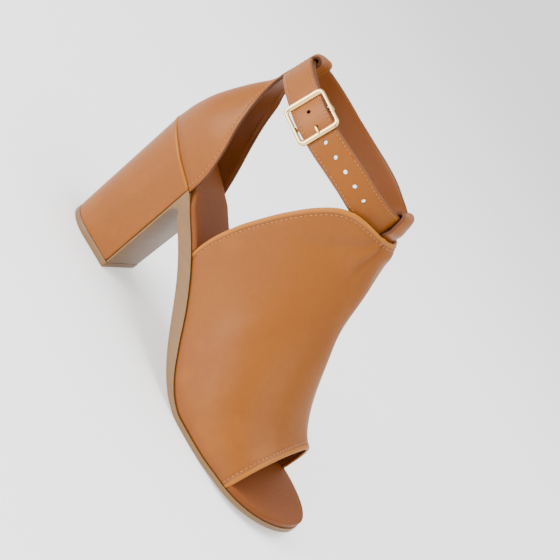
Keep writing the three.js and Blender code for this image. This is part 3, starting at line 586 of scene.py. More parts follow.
def wall_shell(outer, thickness, rim_steps=5, bulge=1.0):
    """Closed wall from a grid of outer points. The rims along both long sides (columns' ends) are round.

    Rows run along the rims. Returns points, faces and each point's depth through the wall.
    """
    rows, columns = outer.shape[:2]
    normals = grid_normals(outer)
    inner = outer - normals * thickness
    middle = (outer + inner) / 2
    angles = np.linspace(0, math.pi, rim_steps + 2)[1:-1]

    def rim(column, sign):
        step = outer[:, column] - outer[:, column - sign]
        normal = normals[:, column]
        away = unit(step - normal * np.sum(step * normal, axis=1, keepdims=True))
        return [middle[:, column] + thickness / 2 * (normal * math.cos(a) + bulge * away * math.sin(a))
                for a in angles]

    strips = [outer[:, j] for j in range(columns)]
    strips += rim(columns - 1, 1)
    strips += [inner[:, j] for j in range(columns - 1, -1, -1)]
    strips += rim(0, -1)[::-1]
    points = np.array(strips).transpose(1, 0, 2)
    count = len(strips)
    faces = ring_faces(rows, count)
    share = np.concatenate([np.zeros(columns), angles / math.pi, np.ones(columns), angles[::-1] / math.pi])
    depth = np.tile(share, (rows, 1))
    opposite = 2 * columns + rim_steps - 1
    for row in (0, rows - 1):
        base = row * count
        pairs = [(j, opposite - j) for j in range(columns)]
        for (a, b), (c, d) in zip(pairs[:-1], pairs[1:]):
            faces.append((base + a, base + c, base + d, base + b))
        faces.append([base + pairs[-1][0] + k for k in range(rim_steps + 2)])
        faces.append([base + (opposite + k) % count for k in range(rim_steps + 2)])
    return points.reshape(-1, 3), faces, depth.reshape(-1)


def loft(rings):
    """Closed body through rings with the same number of points, with fan caps."""
    rings = np.asarray(rings, float)
    count = rings.shape[1]
    points = rings.reshape(-1, 3)
    faces = ring_faces(len(rings), count)
    faces.append(list(range(count)))
    faces.append([(len(rings) - 1) * count + k for k in range(count)])
    return points, faces


def sweep(path, normals, profile):
    """Closed tube along a path; the profile's first value goes along the normal, its second across."""
    path = np.asarray(path, float)
    tangent = unit(np.gradient(path, axis=0))
    normals = unit(normals - tangent * np.sum(normals * tangent, axis=1, keepdims=True))
    side = np.cross(tangent, normals)
    profile = np.asarray(profile, float)
    if profile.ndim == 2:
        profile = np.repeat(profile[None], len(path), axis=0)
    rings = path[:, None] + normals[:, None] * profile[..., :1] + side[:, None] * profile[..., 1:]
    return loft(rings)


def circle(radius, count):
    turn = np.linspace(0, 2 * math.pi, count, endpoint=False)
    return np.stack([radius * np.cos(turn), radius * np.sin(turn)], axis=1)


def spread(first, last, count):
    return np.linspace(first, last, count)


def path_length(points):
    return np.concatenate([[0], np.cumsum(np.linalg.norm(np.diff(points, axis=0), axis=1))])


# Materials


class Link:
    """A shader socket that can be used in sums; each sum adds its Math node."""

    def __init__(self, tree, socket):
        self.tree = tree
        self.socket = socket

    def node(self, kind, settings=None, inputs=None, output=0):
        """Adds any node: settings are set first, then values or links of its sockets."""
        node = self.tree.nodes.new(kind)
        for key, value in (settings or {}).items():
            setattr(node, key, value)
        for key, value in (inputs or {}).items():
            target = node.inputs[key]
            if isinstance(value, Link):
                self.tree.links.new(value.socket, target)
            else:
                target.default_value = value
        return Link(self.tree, node.outputs[output])

    def calculate(self, operation, *values):
        return self.node("ShaderNodeMath", {"operation": operation}, dict(enumerate(values)))

    def __add__(self, other):
        return self.calculate("ADD", self, other)

    def __radd__(self, other):
        return self.calculate("ADD", other, self)

    def __sub__(self, other):
        return self.calculate("SUBTRACT", self, other)

    def __rsub__(self, other):
        return self.calculate("SUBTRACT", other, self)

    def __mul__(self, other):
        return self.calculate("MULTIPLY", self, other)

    def __rmul__(self, other):
        return self.calculate("MULTIPLY", other, self)

    def __pow__(self, other):
        return self.calculate("POWER", self, other)

    def clamp(self):
        return self.node("ShaderNodeClamp", {}, {"Value": self})

    def band(self, low, high):
        """0 below low, 1 above high, smooth between; swapped ends turn it round."""
        turned = low > high
        start, end = (high, low) if turned else (low, high)
        settings = {"interpolation_type": "SMOOTHSTEP"}
        inputs = {"Value": self, "From Min": start, "From Max": end}
        inputs.update({"To Min": 1.0, "To Max": 0.0} if turned else {"To Min": 0.0, "To Max": 1.0})
        return self.node("ShaderNodeMapRange", settings, inputs)

    def mix(self, first, second):
        """Mixes two colours by this value."""
        node = self.tree.nodes.new("ShaderNodeMix")
        node.data_type = "RGBA"
        self.tree.links.new(self.socket, node.inputs["Factor"])
        for key, value in ((6, first), (7, second)):
            if isinstance(value, Link):
                self.tree.links.new(value.socket, node.inputs[key])
            else:
                node.inputs[key].default_value = (*value, 1)
        return Link(self.tree, node.outputs[2])


class Finish:
    """One material under construction, with its Principled shader."""

    def __init__(self, name, **values):
        self.material = bpy.data.materials.new(name)
        self.material.use_nodes = True
        self.tree = self.material.node_tree
        self.shader = self.tree.nodes["Principled BSDF"]
        for key, value in values.items():
            self.shader.inputs[key.replace("_", " ")].default_value = value
        self.start = Link(self.tree, None)
        self.place = self.start.node("ShaderNodeTexCoord", output=3)

    def attribute(self, name):
        return self.start.node("ShaderNodeAttribute", {"attribute_name": name}, output=2)

    def noise(self, scale, detail=3.0, roughness=0.5, stretch=None):
        place = self.place
        if stretch:
            place = self.start.node("ShaderNodeMapping", {}, {"Vector": place, "Scale": stretch})
        return self.start.node("ShaderNodeTexNoise", {}, {
            "Vector": place, "Scale": scale, "Detail": detail, "Roughness": roughness})

    def cells(self, scale, feature="F1", randomness=1.0):
        return self.start.node("ShaderNodeTexVoronoi", {"feature": feature}, {
            "Vector": self.place, "Scale": scale, "Randomness": randomness})

    def feed(self, socket, value):
        self.tree.links.new(value.socket, self.shader.inputs[socket])

    def bump(self, height, strength, distance, below=None):
        inputs = {"Height": height, "Strength": strength, "Distance": distance}
        if below:
            inputs["Normal"] = below
        return self.start.node("ShaderNodeBump", {}, inputs)


def leather_finish(name, folded=False, seam=None, shine=0.46):
    """Smooth leather. 'edge' is the distance from the edge in mm, 'depth' 0 outside to 1 on the lining."""
    base, dark = tuple(colours().leather), tuple(colours().leather_dark_and_shade)
    light = tuple(colours().leather_light_and_highlight)
    finish = Finish(name, Roughness=shine, Coat_Weight=0.04, Coat_Roughness=0.3, Specular_IOR_Level=0.24)
    edge = finish.attribute("edge")
    depth = finish.attribute("depth")
    shade = finish.attribute("shade")
    cloudy = finish.noise(26.0, 4.0, 0.55)
    fine = finish.noise(420.0, 3.0, 0.6)
    mottle = (cloudy - 0.5) * 0.6 + (fine - 0.5) * 0.35
    # Random mottle, darkened further by the painted shade given in 'shade'
    body = (mottle + 0.25 + shade).clamp().mix(base, dark)
    body = ((cloudy - 0.56) * 1.5).clamp().mix(body, light)
    if seam:
        # Painted shade: darker along the stitch groove pressed into the leather
        groove = edge.band(seam - 0.75, seam - 0.3) * edge.band(seam + 0.75, seam + 0.3)
        body = (groove * 0.55).mix(body, dark)
    if folded:
        # Lighter band along the folded edge: paler stretched leather with a painted highlight on the roll
        body = (edge.band(1.9, 0.7) * 0.6).mix(body, light)
    else:
        body = (edge.band(1.3, 0.2) * 0.45).mix(body, dark)
    body = depth.band(0.86, 0.97).mix(body, tuple(colours().lining))
    if not folded:
        painted = depth.band(0.02, 0.16) * depth.band(0.98, 0.84)
        body = painted.mix(body, tuple(colours().painted_edge))
    finish.feed("Base Color", body)
    rough = fine * 0.12 + cloudy * 0.1 + (shine - 0.1)
    finish.feed("Roughness", rough.clamp())
    size = sizes().grain_size
    pebbles = finish.cells(1 / size)
    pores = finish.cells(0.45 / size)
    soft = finish.noise(70.0, 2.0, 0.5)
    height = pebbles * 0.5 + pores * 0.25 + fine * 0.35
    low = finish.bump(soft, 0.14, 1.2 * MM)
    finish.feed("Normal", finish.bump(height, 0.14, 0.25 * MM, low))
    return finish.material


def hole_shade_finish(name):
    """Dark edge paint, as on cut edges and in punched holes."""
    finish = Finish(name, Roughness=0.6, Specular_IOR_Level=0.15)
    cloudy = finish.noise(300.0, 3.0, 0.6)
    base = tuple(colours().painted_edge)
    finish.feed("Base Color", cloudy.mix(base, tuple(1.8 * c for c in base)))
    finish.feed("Normal", finish.bump(cloudy, 0.2, 0.2 * MM))
    return finish.material


def lining_finish(name, base, dark):
    finish = Finish(name, Roughness=0.62, Specular_IOR_Level=0.22)
    cloudy = finish.noise(40.0, 4.0, 0.6)
    fine = finish.noise(700.0, 2.0, 0.6)
    mix = ((cloudy - 0.45) * 0.7 + (fine - 0.5) * 0.4 + 0.2).clamp()
    finish.feed("Base Color", mix.mix(base, dark))
    finish.feed("Roughness", (fine * 0.2 + 0.5).clamp())
    finish.feed("Normal", finish.bump(finish.cells(1500.0), 0.12, 0.2 * MM))
    return finish.material


def sole_finish(name, base, rough=0.5):
    """Moulded taupe sole with fine speckle and faint lines along its edge."""
    finish = Finish(name, Roughness=rough, Specular_IOR_Level=0.4)
    cloudy = finish.noise(30.0, 3.0, 0.5)
    speckle = finish.noise(900.0, 2.0, 0.7)
    layers = finish.noise(18.0, 3.0, 0.6, stretch=(0.25, 0.25, 22.0))
    darker = tuple(0.72 * c for c in base)
    lighter = tuple(min(1.0, 1.12 * c) for c in base)
    body = ((layers - 0.5) * 1.0 + (speckle - 0.5) * 0.5 + 0.25).clamp().mix(lighter, darker)
    finish.feed("Base Color", body)
    finish.feed("Roughness", (cloudy * 0.2 + rough - 0.12).clamp())
    height = layers * 0.6 + speckle * 0.25
    finish.feed("Normal", finish.bump(height, 0.18, 0.3 * MM))
    return finish.material


def gold_finish(name, base):
    finish = Finish(name, Metallic=1.0, Roughness=0.2, Specular_IOR_Level=0.5)
    cloudy = finish.noise(120.0, 3.0, 0.5)
    fine = finish.noise(1500.0, 2.0, 0.5)
    warm = (0.92 * base[0], 0.82 * base[1], 0.66 * base[2])
    finish.feed("Base Color", ((cloudy - 0.42) * 1.2).clamp().mix(base, warm))
    finish.feed("Roughness", (fine * 0.1 + cloudy * 0.1 + 0.1).clamp())
    finish.feed("Normal", finish.bump(fine, 0.04, 0.1 * MM))
    return finish.material


def thread_finish(name, base):
    finish = Finish(name, Roughness=0.6, Sheen_Weight=0.25, Specular_IOR_Level=0.3)
    twist = finish.noise(1800.0, 2.0, 0.5)
    lighter = tuple(min(1.0, 1.3 * c) for c in base)
    finish.feed("Base Color", twist.mix(tuple(0.75 * c for c in base), lighter))
    finish.feed("Normal", finish.bump(twist, 0.3, 0.2 * MM))
    return finish.material


def finish_named(name):
    """The material of that name, made the first time it is asked for."""
    if name in bpy.data.materials:
        return bpy.data.materials[name]
    seams = {key: getattr(sizes(), key + "_stitch_inset") / MM for key in ("vamp", "cup", "strap")}
    makers = {
        "folded_leather": lambda: leather_finish(name, folded=True, seam=seams["vamp"]),
        "cup_leather": lambda: leather_finish(name, seam=seams["cup"]),
        "strap_leather": lambda: leather_finish(name, seam=seams["strap"]),
        "loop_leather": lambda: leather_finish(name),
        "heel_leather": lambda: leather_finish(name, folded=True),
        "hole_painted_shade": lambda: hole_shade_finish(name),
        "insole_leather": lambda: lining_finish(name, tuple(colours().insole), tuple(colours().leather_dark_and_shade)),
        "taupe_sole": lambda: sole_finish(name, tuple(colours().sole)),
        "pale_gold": lambda: gold_finish(name, tuple(colours().gold)),
        "tan_thread": lambda: thread_finish(name, tuple(colours().thread)),
    }
    return makers[name]()


# Stitches, set along a line by Geometry Nodes


def stitch_tree():
    """Geometry Nodes tree that sets stitches along a line of points with an 'up' attribute."""
    name = "Stitch row"
    if name in bpy.data.node_groups:
        return bpy.data.node_groups[name]
    tree = bpy.data.node_groups.new(name, "GeometryNodeTree")
    tree.interface.new_socket("Geometry", in_out="INPUT", socket_type="NodeSocketGeometry")
    for label in ("Pitch", "Length", "Width"):
        tree.interface.new_socket(label, in_out="INPUT", socket_type="NodeSocketFloat")
    tree.interface.new_socket("Thread", in_out="INPUT", socket_type="NodeSocketMaterial")
    tree.interface.new_socket("Geometry", in_out="OUTPUT", socket_type="NodeSocketGeometry")
    given = tree.nodes.new("NodeGroupInput")
    result = tree.nodes.new("NodeGroupOutput")

    def add(kind, links, **settings):
        node = tree.nodes.new(kind)
        for key, value in settings.items():
            setattr(node, key, value)
        for key, value in links.items():
            if isinstance(value, bpy.types.NodeSocket):
                tree.links.new(value, node.inputs[key])
            else:
                node.inputs[key].default_value = value
        return node

    line = add("GeometryNodeMeshToCurve", {"Mesh": given.outputs["Geometry"]})
    row = add("GeometryNodeResampleCurve", {
        "Curve": line.outputs[0], "Length": given.outputs["Pitch"]}, mode="LENGTH")
    tangent = tree.nodes.new("GeometryNodeInputTangent")
    up = add("GeometryNodeInputNamedAttribute", {"Name": "up"}, data_type="FLOAT_VECTOR")
    facing = add("FunctionNodeAlignRotationToVector", {"Vector": tangent.outputs[0]}, axis="X")
    turned = add("FunctionNodeAlignRotationToVector", {
        "Rotation": facing.outputs[0], "Vector": up.outputs[0]}, axis="Z", pivot_axis="X")
    ball = add("GeometryNodeMeshUVSphere", {"Segments": 8, "Rings": 6, "Radius": 0.5})
    size = add("ShaderNodeCombineXYZ", {
        "X": given.outputs["Length"], "Y": given.outputs["Width"], "Z": given.outputs["Width"]})
    stitch = add("GeometryNodeTransform", {"Geometry": ball.outputs[0], "Scale": size.outputs[0]})
    rows = add("GeometryNodeInstanceOnPoints", {
        "Points": row.outputs[0], "Instance": stitch.outputs[0], "Rotation": turned.outputs[0]})
    real = add("GeometryNodeRealizeInstances", {"Geometry": rows.outputs[0]})
    smooth_row = add("GeometryNodeSetShadeSmooth", {"Geometry": real.outputs[0]})
    coloured = add("GeometryNodeSetMaterial", {
        "Geometry": smooth_row.outputs[0], "Material": given.outputs["Thread"]})
    tree.links.new(coloured.outputs[0], result.inputs[0])
    return tree


def sew(name, lines, pitch=1.0, length=1.0, width=1.0):
    """Stitches along lines of (points, ups) in shoe millimetres, as one plain mesh."""
    mesh = bpy.data.meshes.new(name + "_line")
    points, edges, ups = [], [], []
    for line, line_ups in lines:
        start = len(points)
        points += ((np.asarray(line) + SHIFT) * MM).tolist()
        edges += [(start + k, start + k + 1) for k in range(len(line) - 1)]
        ups += np.asarray(line_ups, float).ravel().tolist()
    mesh.from_pydata(points, edges, [])
    attribute = mesh.attributes.new("up", "FLOAT_VECTOR", "POINT")
    attribute.data.foreach_set("vector", ups)
    guide = bpy.data.objects.new(name, mesh)
    bpy.context.scene.collection.objects.link(guide)
    tree = stitch_tree()
    modifier = guide.modifiers.new("Stitches", "NODES")
    modifier.node_group = tree
    values = {
        "Pitch": sizes().stitch_pitch * pitch, "Length": sizes().stitch_length * length,
        "Width": sizes().thread_width * width, "Thread": finish_named("tan_thread"),
    }
    for item in tree.interface.items_tree:
        if item.in_out == "INPUT" and item.name in values:
            modifier[item.identifier] = values[item.name]
    graph = bpy.context.evaluated_depsgraph_get()
    rows = bpy.data.meshes.new_from_object(guide.evaluated_get(graph))
    guide.modifiers.clear()
    guide.data = rows
    rows.name = name
    if "up" in rows.attributes:
        rows.attributes.remove(rows.attributes["up"])
    rows.materials.clear()
    rows.materials.append(finish_named("tan_thread"))
    return finish_piece(guide, "upper_leather")


# Pieces


def make_outsole():
    rings = []
    tip_start = SOLE_LENGTH - TOE_ROUND
    tip_end = SOLE_LENGTH - 0.25
    corner = SEAT_LENGTH + 12

    def ring(top, under, inner_half, outer_half, bevel=0.6):
        side = [(0, 0), (0.12, 0.0), (0.55, 0.12), (0.82, 0.45), (0.95, 0.95), (1, 1.6)]

        def point(depth, across):
            return (lerp(top[0], under[0], depth), across, lerp(top[1], under[1], depth))

        points = [point(depth, inner_half - inset * bevel) for depth, inset in side]
        return points + [point(depth, inset * bevel - outer_half) for depth, inset in reversed(side)]

    def station(x):
        inner, outer = (float(half_width(x, side)) for side in (INNER, OUTER))
        swing, half = (inner - outer) / 2, max((inner + outer) / 2, 1.1)
        under = [float(c) for c in sole_under(x)]
        return ring((x, float(sole_top(x))), under, half + swing, half - swing)

    for t in spread(0, 1, 34):
        rings.append(station(lerp(tip_end, tip_start, 1 - math.cos(t * math.pi / 2))))
    for t in spread(0, 1, 70)[1:]:
        rings.append(station(lerp(tip_start, corner, t)))
    seat_top = float(foot_line(SEAT_LENGTH))
    low = seat_top - 2.2 * SHANK_THICKNESS
    start = np.array(sole_under(corner), float)
    knee = seat_top - 1.25 * SHANK_THICKNESS
    curve = [start, np.array([SEAT_LENGTH + 0.8 * SHANK_THICKNESS, knee]),
             np.array([heel_front(low) + FLAP_THICKNESS, knee]),
             np.array([heel_front(low) + FLAP_THICKNESS, low])]
    for t in spread(0, 1, 21)[1:]:
        under = sum(weight * p for weight, p in zip(
            ((1 - t) ** 3, 3 * t * (1 - t) ** 2, 3 * t * t * (1 - t), t ** 3), curve))
        down = max(0, (t - 0.5) * 2)
        x = lerp(corner, heel_front(sole_top(SEAT_LENGTH)), min(1, t * 2))
        z = lerp(sole_top(SEAT_LENGTH), low, down)
        top = (heel_front(z), z) if down > 0 else (x, sole_top(x))
        wide = lerp(float(half_width(corner, INNER)), heel_half(z) - FLAP_INSET, t)
        rings.append(ring([float(c) for c in top], under, wide, wide, lerp(0.6, 0.25, t)))
    for t in spread(0, 1, 8)[1:]:
        z = lerp(low, TOP_PIECE_THICKNESS + GAP, t)
        half = heel_half(z) - FLAP_INSET
        rings.append(ring((heel_front(z), z), (heel_front(z) + FLAP_THICKNESS, z), half, half, 0.25))
    piece = to_object("outsole_unit", *loft(rings))
    piece.data.materials.append(finish_named("taupe_sole"))
    add_bevel_normals(piece)
    finish_piece(piece, "sole_unit", "outsole")


def add_bevel_normals(piece, angle=38):
    """Keeps corners crisp where faces meet at more than the angle."""
    work = bmesh.new()
    work.from_mesh(piece.data)
    for edge in work.edges:
        if len(edge.link_faces) == 2:
            edge.smooth = edge.calc_face_angle(0) < math.radians(angle)
    work.to_mesh(piece.data)
    work.free()


INSOLE_RIM = 0.6
COVERED = UPPER_INSET + WALL + GAP + 0.2


WIDENING_RUN = 7  # length over which the insole widens into the side gap, mm


def insole_halves(x):
    """Half widths of the insole: flush with the sole in the openings, inside the walls elsewhere."""
    toe = max((x - SOLE_LENGTH + TOE_ROUND) / TOE_ROUND, 0) ** 2
    inner, outer = (float(half_width(x + INSOLE_RIM * toe, side)) for side in (INNER, OUTER))
    gap_starts, gap_ends = CUP_FRONT + GAP, VAMP_REAR - GAP
    gap_open = smooth(gap_starts, gap_starts + WIDENING_RUN, x) * (1 - smooth(gap_ends - 0.6, gap_ends, x))
    toe_open = smooth(VAMP_FRONT + GAP, VAMP_FRONT + GAP + 0.6, x)
    inset = lerp(COVERED, INSOLE_RIM * (1 - toe), max(float(gap_open), float(toe_open)))
    if x < SEAT_ROUND:
        seat = (SEAT_WIDTH / 2 - COVERED) * float(arch(1 - (x - COVERED) / (SEAT_ROUND - COVERED), 2))
        return seat, seat
    swing, half = (inner - outer) / 2, max((inner + outer) / 2 - inset, 0.5)
    return half + swing, half - swing


def make_insole():
    """Padded insole: crowned foot side with a rolled edge."""
    back = COVERED + 0.2
    front = SOLE_LENGTH - INSOLE_RIM - 0.05
    marks = np.concatenate([
        lerp(back, SEAT_ROUND, 1 - np.cos(spread(0, math.pi / 2, 24))),
        spread(SEAT_ROUND, CUP_FRONT, 6)[1:],
        CUP_FRONT + GAP + spread(0, WIDENING_RUN, 9),
        spread(CUP_FRONT + WIDENING_RUN + 1.5, VAMP_REAR - 1.2, 12),
        VAMP_REAR - GAP - 0.6 + spread(0, 0.6, 5),
        spread(VAMP_REAR + 1, VAMP_FRONT - 1, 60),
        VAMP_FRONT + GAP + spread(0, 0.6, 5),
        lerp(VAMP_FRONT + 1.2, front, np.sin(spread(0, math.pi / 2, 30))),
    ])
    section = [(0, 0.0), (0.25, 0.0), (0.6, 0.05), (0.85, 0.3), (0.97, 0.8), (1.0, 1.5)]
    rings = []
    for x in marks:
        inner, outer = insole_halves(x)
        low = float(foot_line(x)) + GAP / 2
        soft = min(1, (inner + outer) / 2 / 2.2)
        ring = [(x, inner - inset * soft, low + height * INSOLE_THICKNESS) for height, inset in section]
        edge = section[-1][1] * soft
        for share in spread(0, 1, 9)[1:-1]:
            ring.append((x, lerp(inner - edge, edge - outer, share), low + INSOLE_THICKNESS))
        ring += [(x, inset * soft - outer, low + height * INSOLE_THICKNESS)
                 for height, inset in reversed(section)]
        rings.append(ring)
    points, faces = loft(rings)
    piece = to_object("insole_sock", points, faces)
    piece.data.materials.append(finish_named("insole_leather"))
    finish_piece(piece, "insole_cover", "insole")


def heel_outline(front, back, half, depth, count, corner=0.9):
    """Outline of the heel seen from above: round at the back, with small round corners at the front."""
    turn = spread(0, math.pi / 2, count)
    points = [(back + depth * (1 - math.cos(a)), half * math.sin(a)) for a in turn]
    points += [(x, half) for x in spread(back + depth, front - corner, 8)[1:]]
    points += [(front - corner + corner * math.sin(a), half - corner + corner * math.cos(a))
               for a in spread(0, math.pi / 2, 6)[1:]]
    mirrored = [(x, -y) for x, y in reversed(points[1:])]
    return mirrored + points


def make_heel():
    """Leather-covered block with a rolled top edge, its seam and the wear piece below."""
    bottom = TOP_PIECE_THICKNESS + GAP
    base_round = 0.52 * BASE_LENGTH
    top = heel_outline(heel_front(sole_top(SEAT_LENGTH)) - GAP, 0, SEAT_WIDTH / 2, SEAT_ROUND, 26)
    base = heel_outline(heel_front(bottom) - GAP, BASE_PITCH, heel_half(bottom), base_round, 26)
    levels = [0, 0.004, 0.02] + list(spread(0.05, 0.93, 14)) + [0.955, 0.975, 0.985, 0.995, 1]
    swell = {0: -0.45, 0.004: -0.2, 0.955: 0.0, 0.975: 0.35, 0.985: 0.3, 0.995: -0.1, 1: -0.5}
    centre = np.array([0.55 * SEAT_LENGTH, 0])
    rings, edges = [], []
    for t in levels:
        ring = []
        for (tx, ty), (bx, by) in zip(top, base):
            x, y = lerp(bx, tx, t), lerp(by, ty, t ** 1.15)
            away = unit(np.array([x, y]) - centre)
            x, y = np.array([x, y]) + away * swell.get(t, 0.0)
            ring.append((x, y, lerp(bottom, float(sole_top(x)), t)))
        rings.append(ring)
        edges += [(1 - t) * (HEEL_HEIGHT - bottom)] * len(ring)
    points, faces = loft(rings)
    piece = to_object("heel_cover", points, faces, values={"edge": edges})
    piece.data.materials.append(finish_named("heel_leather"))
    add_bevel_normals(piece, 50)
    finish_piece(piece, "upper_leather", "heel_block")

    outline = heel_outline(TOP_PIECE_FRONT, BASE_PITCH, heel_half(0), base_round, 26, 1.2)
    levels = ((0, 0.5), (0.35, 0.12), (0.8, 0), (TOP_PIECE_THICKNESS - 0.6, 0), (TOP_PIECE_THICKNESS, 0.3))
    middle = np.array([BASE_PITCH + BASE_LENGTH / 2, 0])
    rings = []
    for z, inset in levels:
        flat = np.array(outline)
        flat = flat - unit(flat - middle) * inset
        rings.append([(x, y, z) for x, y in flat])
    piece = to_object("heel_wear_piece", *loft(rings))
    piece.data.materials.append(finish_named("taupe_sole"))
    add_bevel_normals(piece)
    finish_piece(piece, "sole_unit", "heel_top_piece")


# Folds below the front loop: place across at its foot, slant, width, weight and lowest height
FOLDS = [(-12.5, -0.1, 1.7, 1.0, 108), (12.0, 0.12, 1.8, 0.85, 106), (-19, -0.4, 2.2, 0.4, 98),
         (20, 0.4, 2.4, 0.4, 100)]


def pucker(grid, normals, u, w):
    """Gathers and soft folds of the vamp under the front loop and towards its rear edge."""
    depth = sizes().pucker_depth / MM
    across = grid[..., 1]
    height = grid[..., 2]
    near_top = smooth(0.72, 0.93, u) * (1 - smooth(0.3, 0.6, np.abs(w)))
    dimple = np.exp(-((across - 2) / 5.5) ** 2 - ((height - 117) / 9) ** 2)
    roll = np.exp(-((across - 1) / 9) ** 2 - ((height - 131) / 4.5) ** 2)
    folds = np.zeros_like(across)
    for start, slope, width, weight, low in FOLDS:
        line = start + slope * (128 - height) + 0.6 * np.sin(height * 0.35)
        fade = smooth(low, low + 14, height) * (1 - smooth(133.5, 137, height))
        side = np.sign(start)
        hollow = np.exp(-((across - line) / width) ** 2)
        crest = np.exp(-((across - line - side * 1.7 * width) / (1.2 * width)) ** 2)
        folds += weight * (hollow - 0.6 * crest) * fade
    slack = (0.35 * np.sin(height * 0.11 + across * 0.08)
             * smooth(0.15, 0.5, u) * (1 - smooth(0.55, 0.9, np.abs(w))))
    lift = depth * (0.9 * roll - 0.8 * dimple * near_top - 0.9 * folds) + slack
    return grid + normals * lift[..., None]


def vamp_grid(u, w):
    grid = vamp_point(u[:, None], w[None, :])
    return pucker(grid, -grid_normals(grid), u[:, None], w[None, :])


VAMP_U = np.concatenate([spread(0, 0.06, 12), spread(0.06, 0.9, 70)[1:], spread(0.9, 1, 22)[1:]])
VAMP_W = spread(-1, 1, 181)


def groove(grid, normals, distance, inset, depth=0.28, width=0.7, puff=0.18):
    """Presses the leather in along a stitch row and puffs the fold beside it."""
    press = -depth * np.exp(-((distance - inset) / width) ** 2)
    fold = puff * np.exp(-((distance - 0.45 * inset) / (0.4 * inset)) ** 2)
    return grid + normals * (press + fold)[..., None]


def make_vamp():
    grid = vamp_grid(VAMP_U, VAMP_W)
    rows = grid.transpose(1, 0, 2)
    lengths = np.linalg.norm(np.diff(rows, axis=1), axis=2)
    run = np.concatenate([np.zeros((len(rows), 1)), np.cumsum(lengths, axis=1)], axis=1)
    distance = np.minimum(run, run[:, -1:] - run)
    normals = grid_normals(rows)
    inset = sizes().vamp_stitch_inset / MM
    rows = groove(rows, normals, distance, inset)
    points, faces, depth = wall_shell(rows, WALL)
    columns = rows.shape[1]
    rim = len(depth) // len(rows) - 2 * columns
    zero = np.zeros((len(rows), rim // 2))
    edge = np.concatenate([distance, zero, distance[:, ::-1], zero], axis=1)
    foot = rows[..., 2] - upper_foot(rows[..., 0])
    # Painted shade: darker within 7 mm of the foot line, where the vamp meets the sole
    near_foot = 0.28 * (1 - smooth(0, 7, foot))
    side = np.concatenate([near_foot, zero, near_foot[:, ::-1], zero], axis=1)
    piece = to_object("vamp_leather", points, faces, values={
        "edge": edge.ravel(), "depth": depth, "shade": side.ravel()})
    piece.data.materials.append(finish_named("folded_leather"))
    finish_piece(piece, "upper_leather", "vamp")
    make_vamp_stitches(rows, normals, run, inset)


def line_at(rows, normals, run, wanted, lift):
    """Line across the rows at a wanted distance along each, with its ups."""
    points, ups = [], []
    for row, normal, length, want in zip(rows, normals, run, wanted):
        points.append([np.interp(want, length, row[:, k]) for k in range(3)])
        ups.append([np.interp(want, length, normal[:, k]) for k in range(3)])
    points, ups = np.array(points), unit(np.array(ups))
    return points + ups * lift, ups


def make_vamp_stitches(rows, normals, run, inset):
    lift = 0.02
    inside = slice(3, -3)
    toe = line_at(rows[inside], normals[inside], run[inside], np.full(len(rows), inset)[inside], lift)
    rear = line_at(rows[inside], normals[inside], run[inside], run[inside, -1] - inset, lift)
    sew("vamp_stitches", [toe, rear])


CUP_MARKS = np.concatenate([
    spread(0, 5, 56), spread(5, 8, 16)[1:], spread(8, 10, 9)[1:], spread(10, 16, 25)[1:],
    spread(16, 18, 11)[1:]])
CUP_Q = np.concatenate([spread(-1, -0.86, 9), spread(-0.86, 0.86, 61)[1:-1], spread(0.86, 1, 9)])


def make_heel_cup():
    grid = spline(cup_lines(CUP_Q), CUP_MARKS)
    normals = grid_normals(grid)
    sign = 1 if normals[4, len(CUP_Q) // 2, 0] < 0 else -1
    if sign < 0:
        grid = grid[:, ::-1]
        normals = grid_normals(grid)
    lengths = np.linalg.norm(np.diff(grid, axis=1), axis=2)
    run = np.concatenate([np.zeros((len(grid), 1)), np.cumsum(lengths, axis=1)], axis=1)
    distance = np.minimum(run, run[:, -1:] - run)
    inset = sizes().cup_stitch_inset / MM
    grid = groove(grid, normals, distance, inset, depth=0.2, puff=0.12)
    points, faces, depth = wall_shell(grid, WALL, bulge=0.55)
    columns = grid.shape[1]
    rim = len(depth) // len(grid) - 2 * columns
    zero = np.zeros((len(grid), rim // 2))
    edge = np.concatenate([distance, zero, distance[:, ::-1], zero], axis=1)
    rise = path_length(grid[:, columns // 2])[:, None] * np.ones((1, columns))
    # Painted shade: darker over the cup's lowest 5 mm, where it meets the heel
    low = 0.3 * (1 - smooth(0, 5, rise))
    shade = np.concatenate([low, zero, low[:, ::-1], zero], axis=1)
    piece = to_object("heel_cup_leather", points, faces, values={
        "edge": edge.ravel(), "depth": depth, "shade": shade.ravel()})
    piece.data.materials.append(finish_named("cup_leather"))
    finish_piece(piece, "upper_leather", "counter_and_back_loop")
    last = int(np.argmax(CUP_MARKS >= 9.6))
    lines = []
    for wanted in (np.full(last, inset), run[:last, -1] - inset):
        lines.append(line_at(grid[1:last], normals[1:last], run[1:last], wanted[1:], 0.08))
    cross_mark = int(np.argmax(CUP_MARKS >= 6.35))
    cross = slice(10, -10)
    lines.append((grid[cross_mark, cross] + normals[cross_mark, cross] * 0.08, normals[cross_mark, cross]))
    sew("heel_cup_stitches", lines)


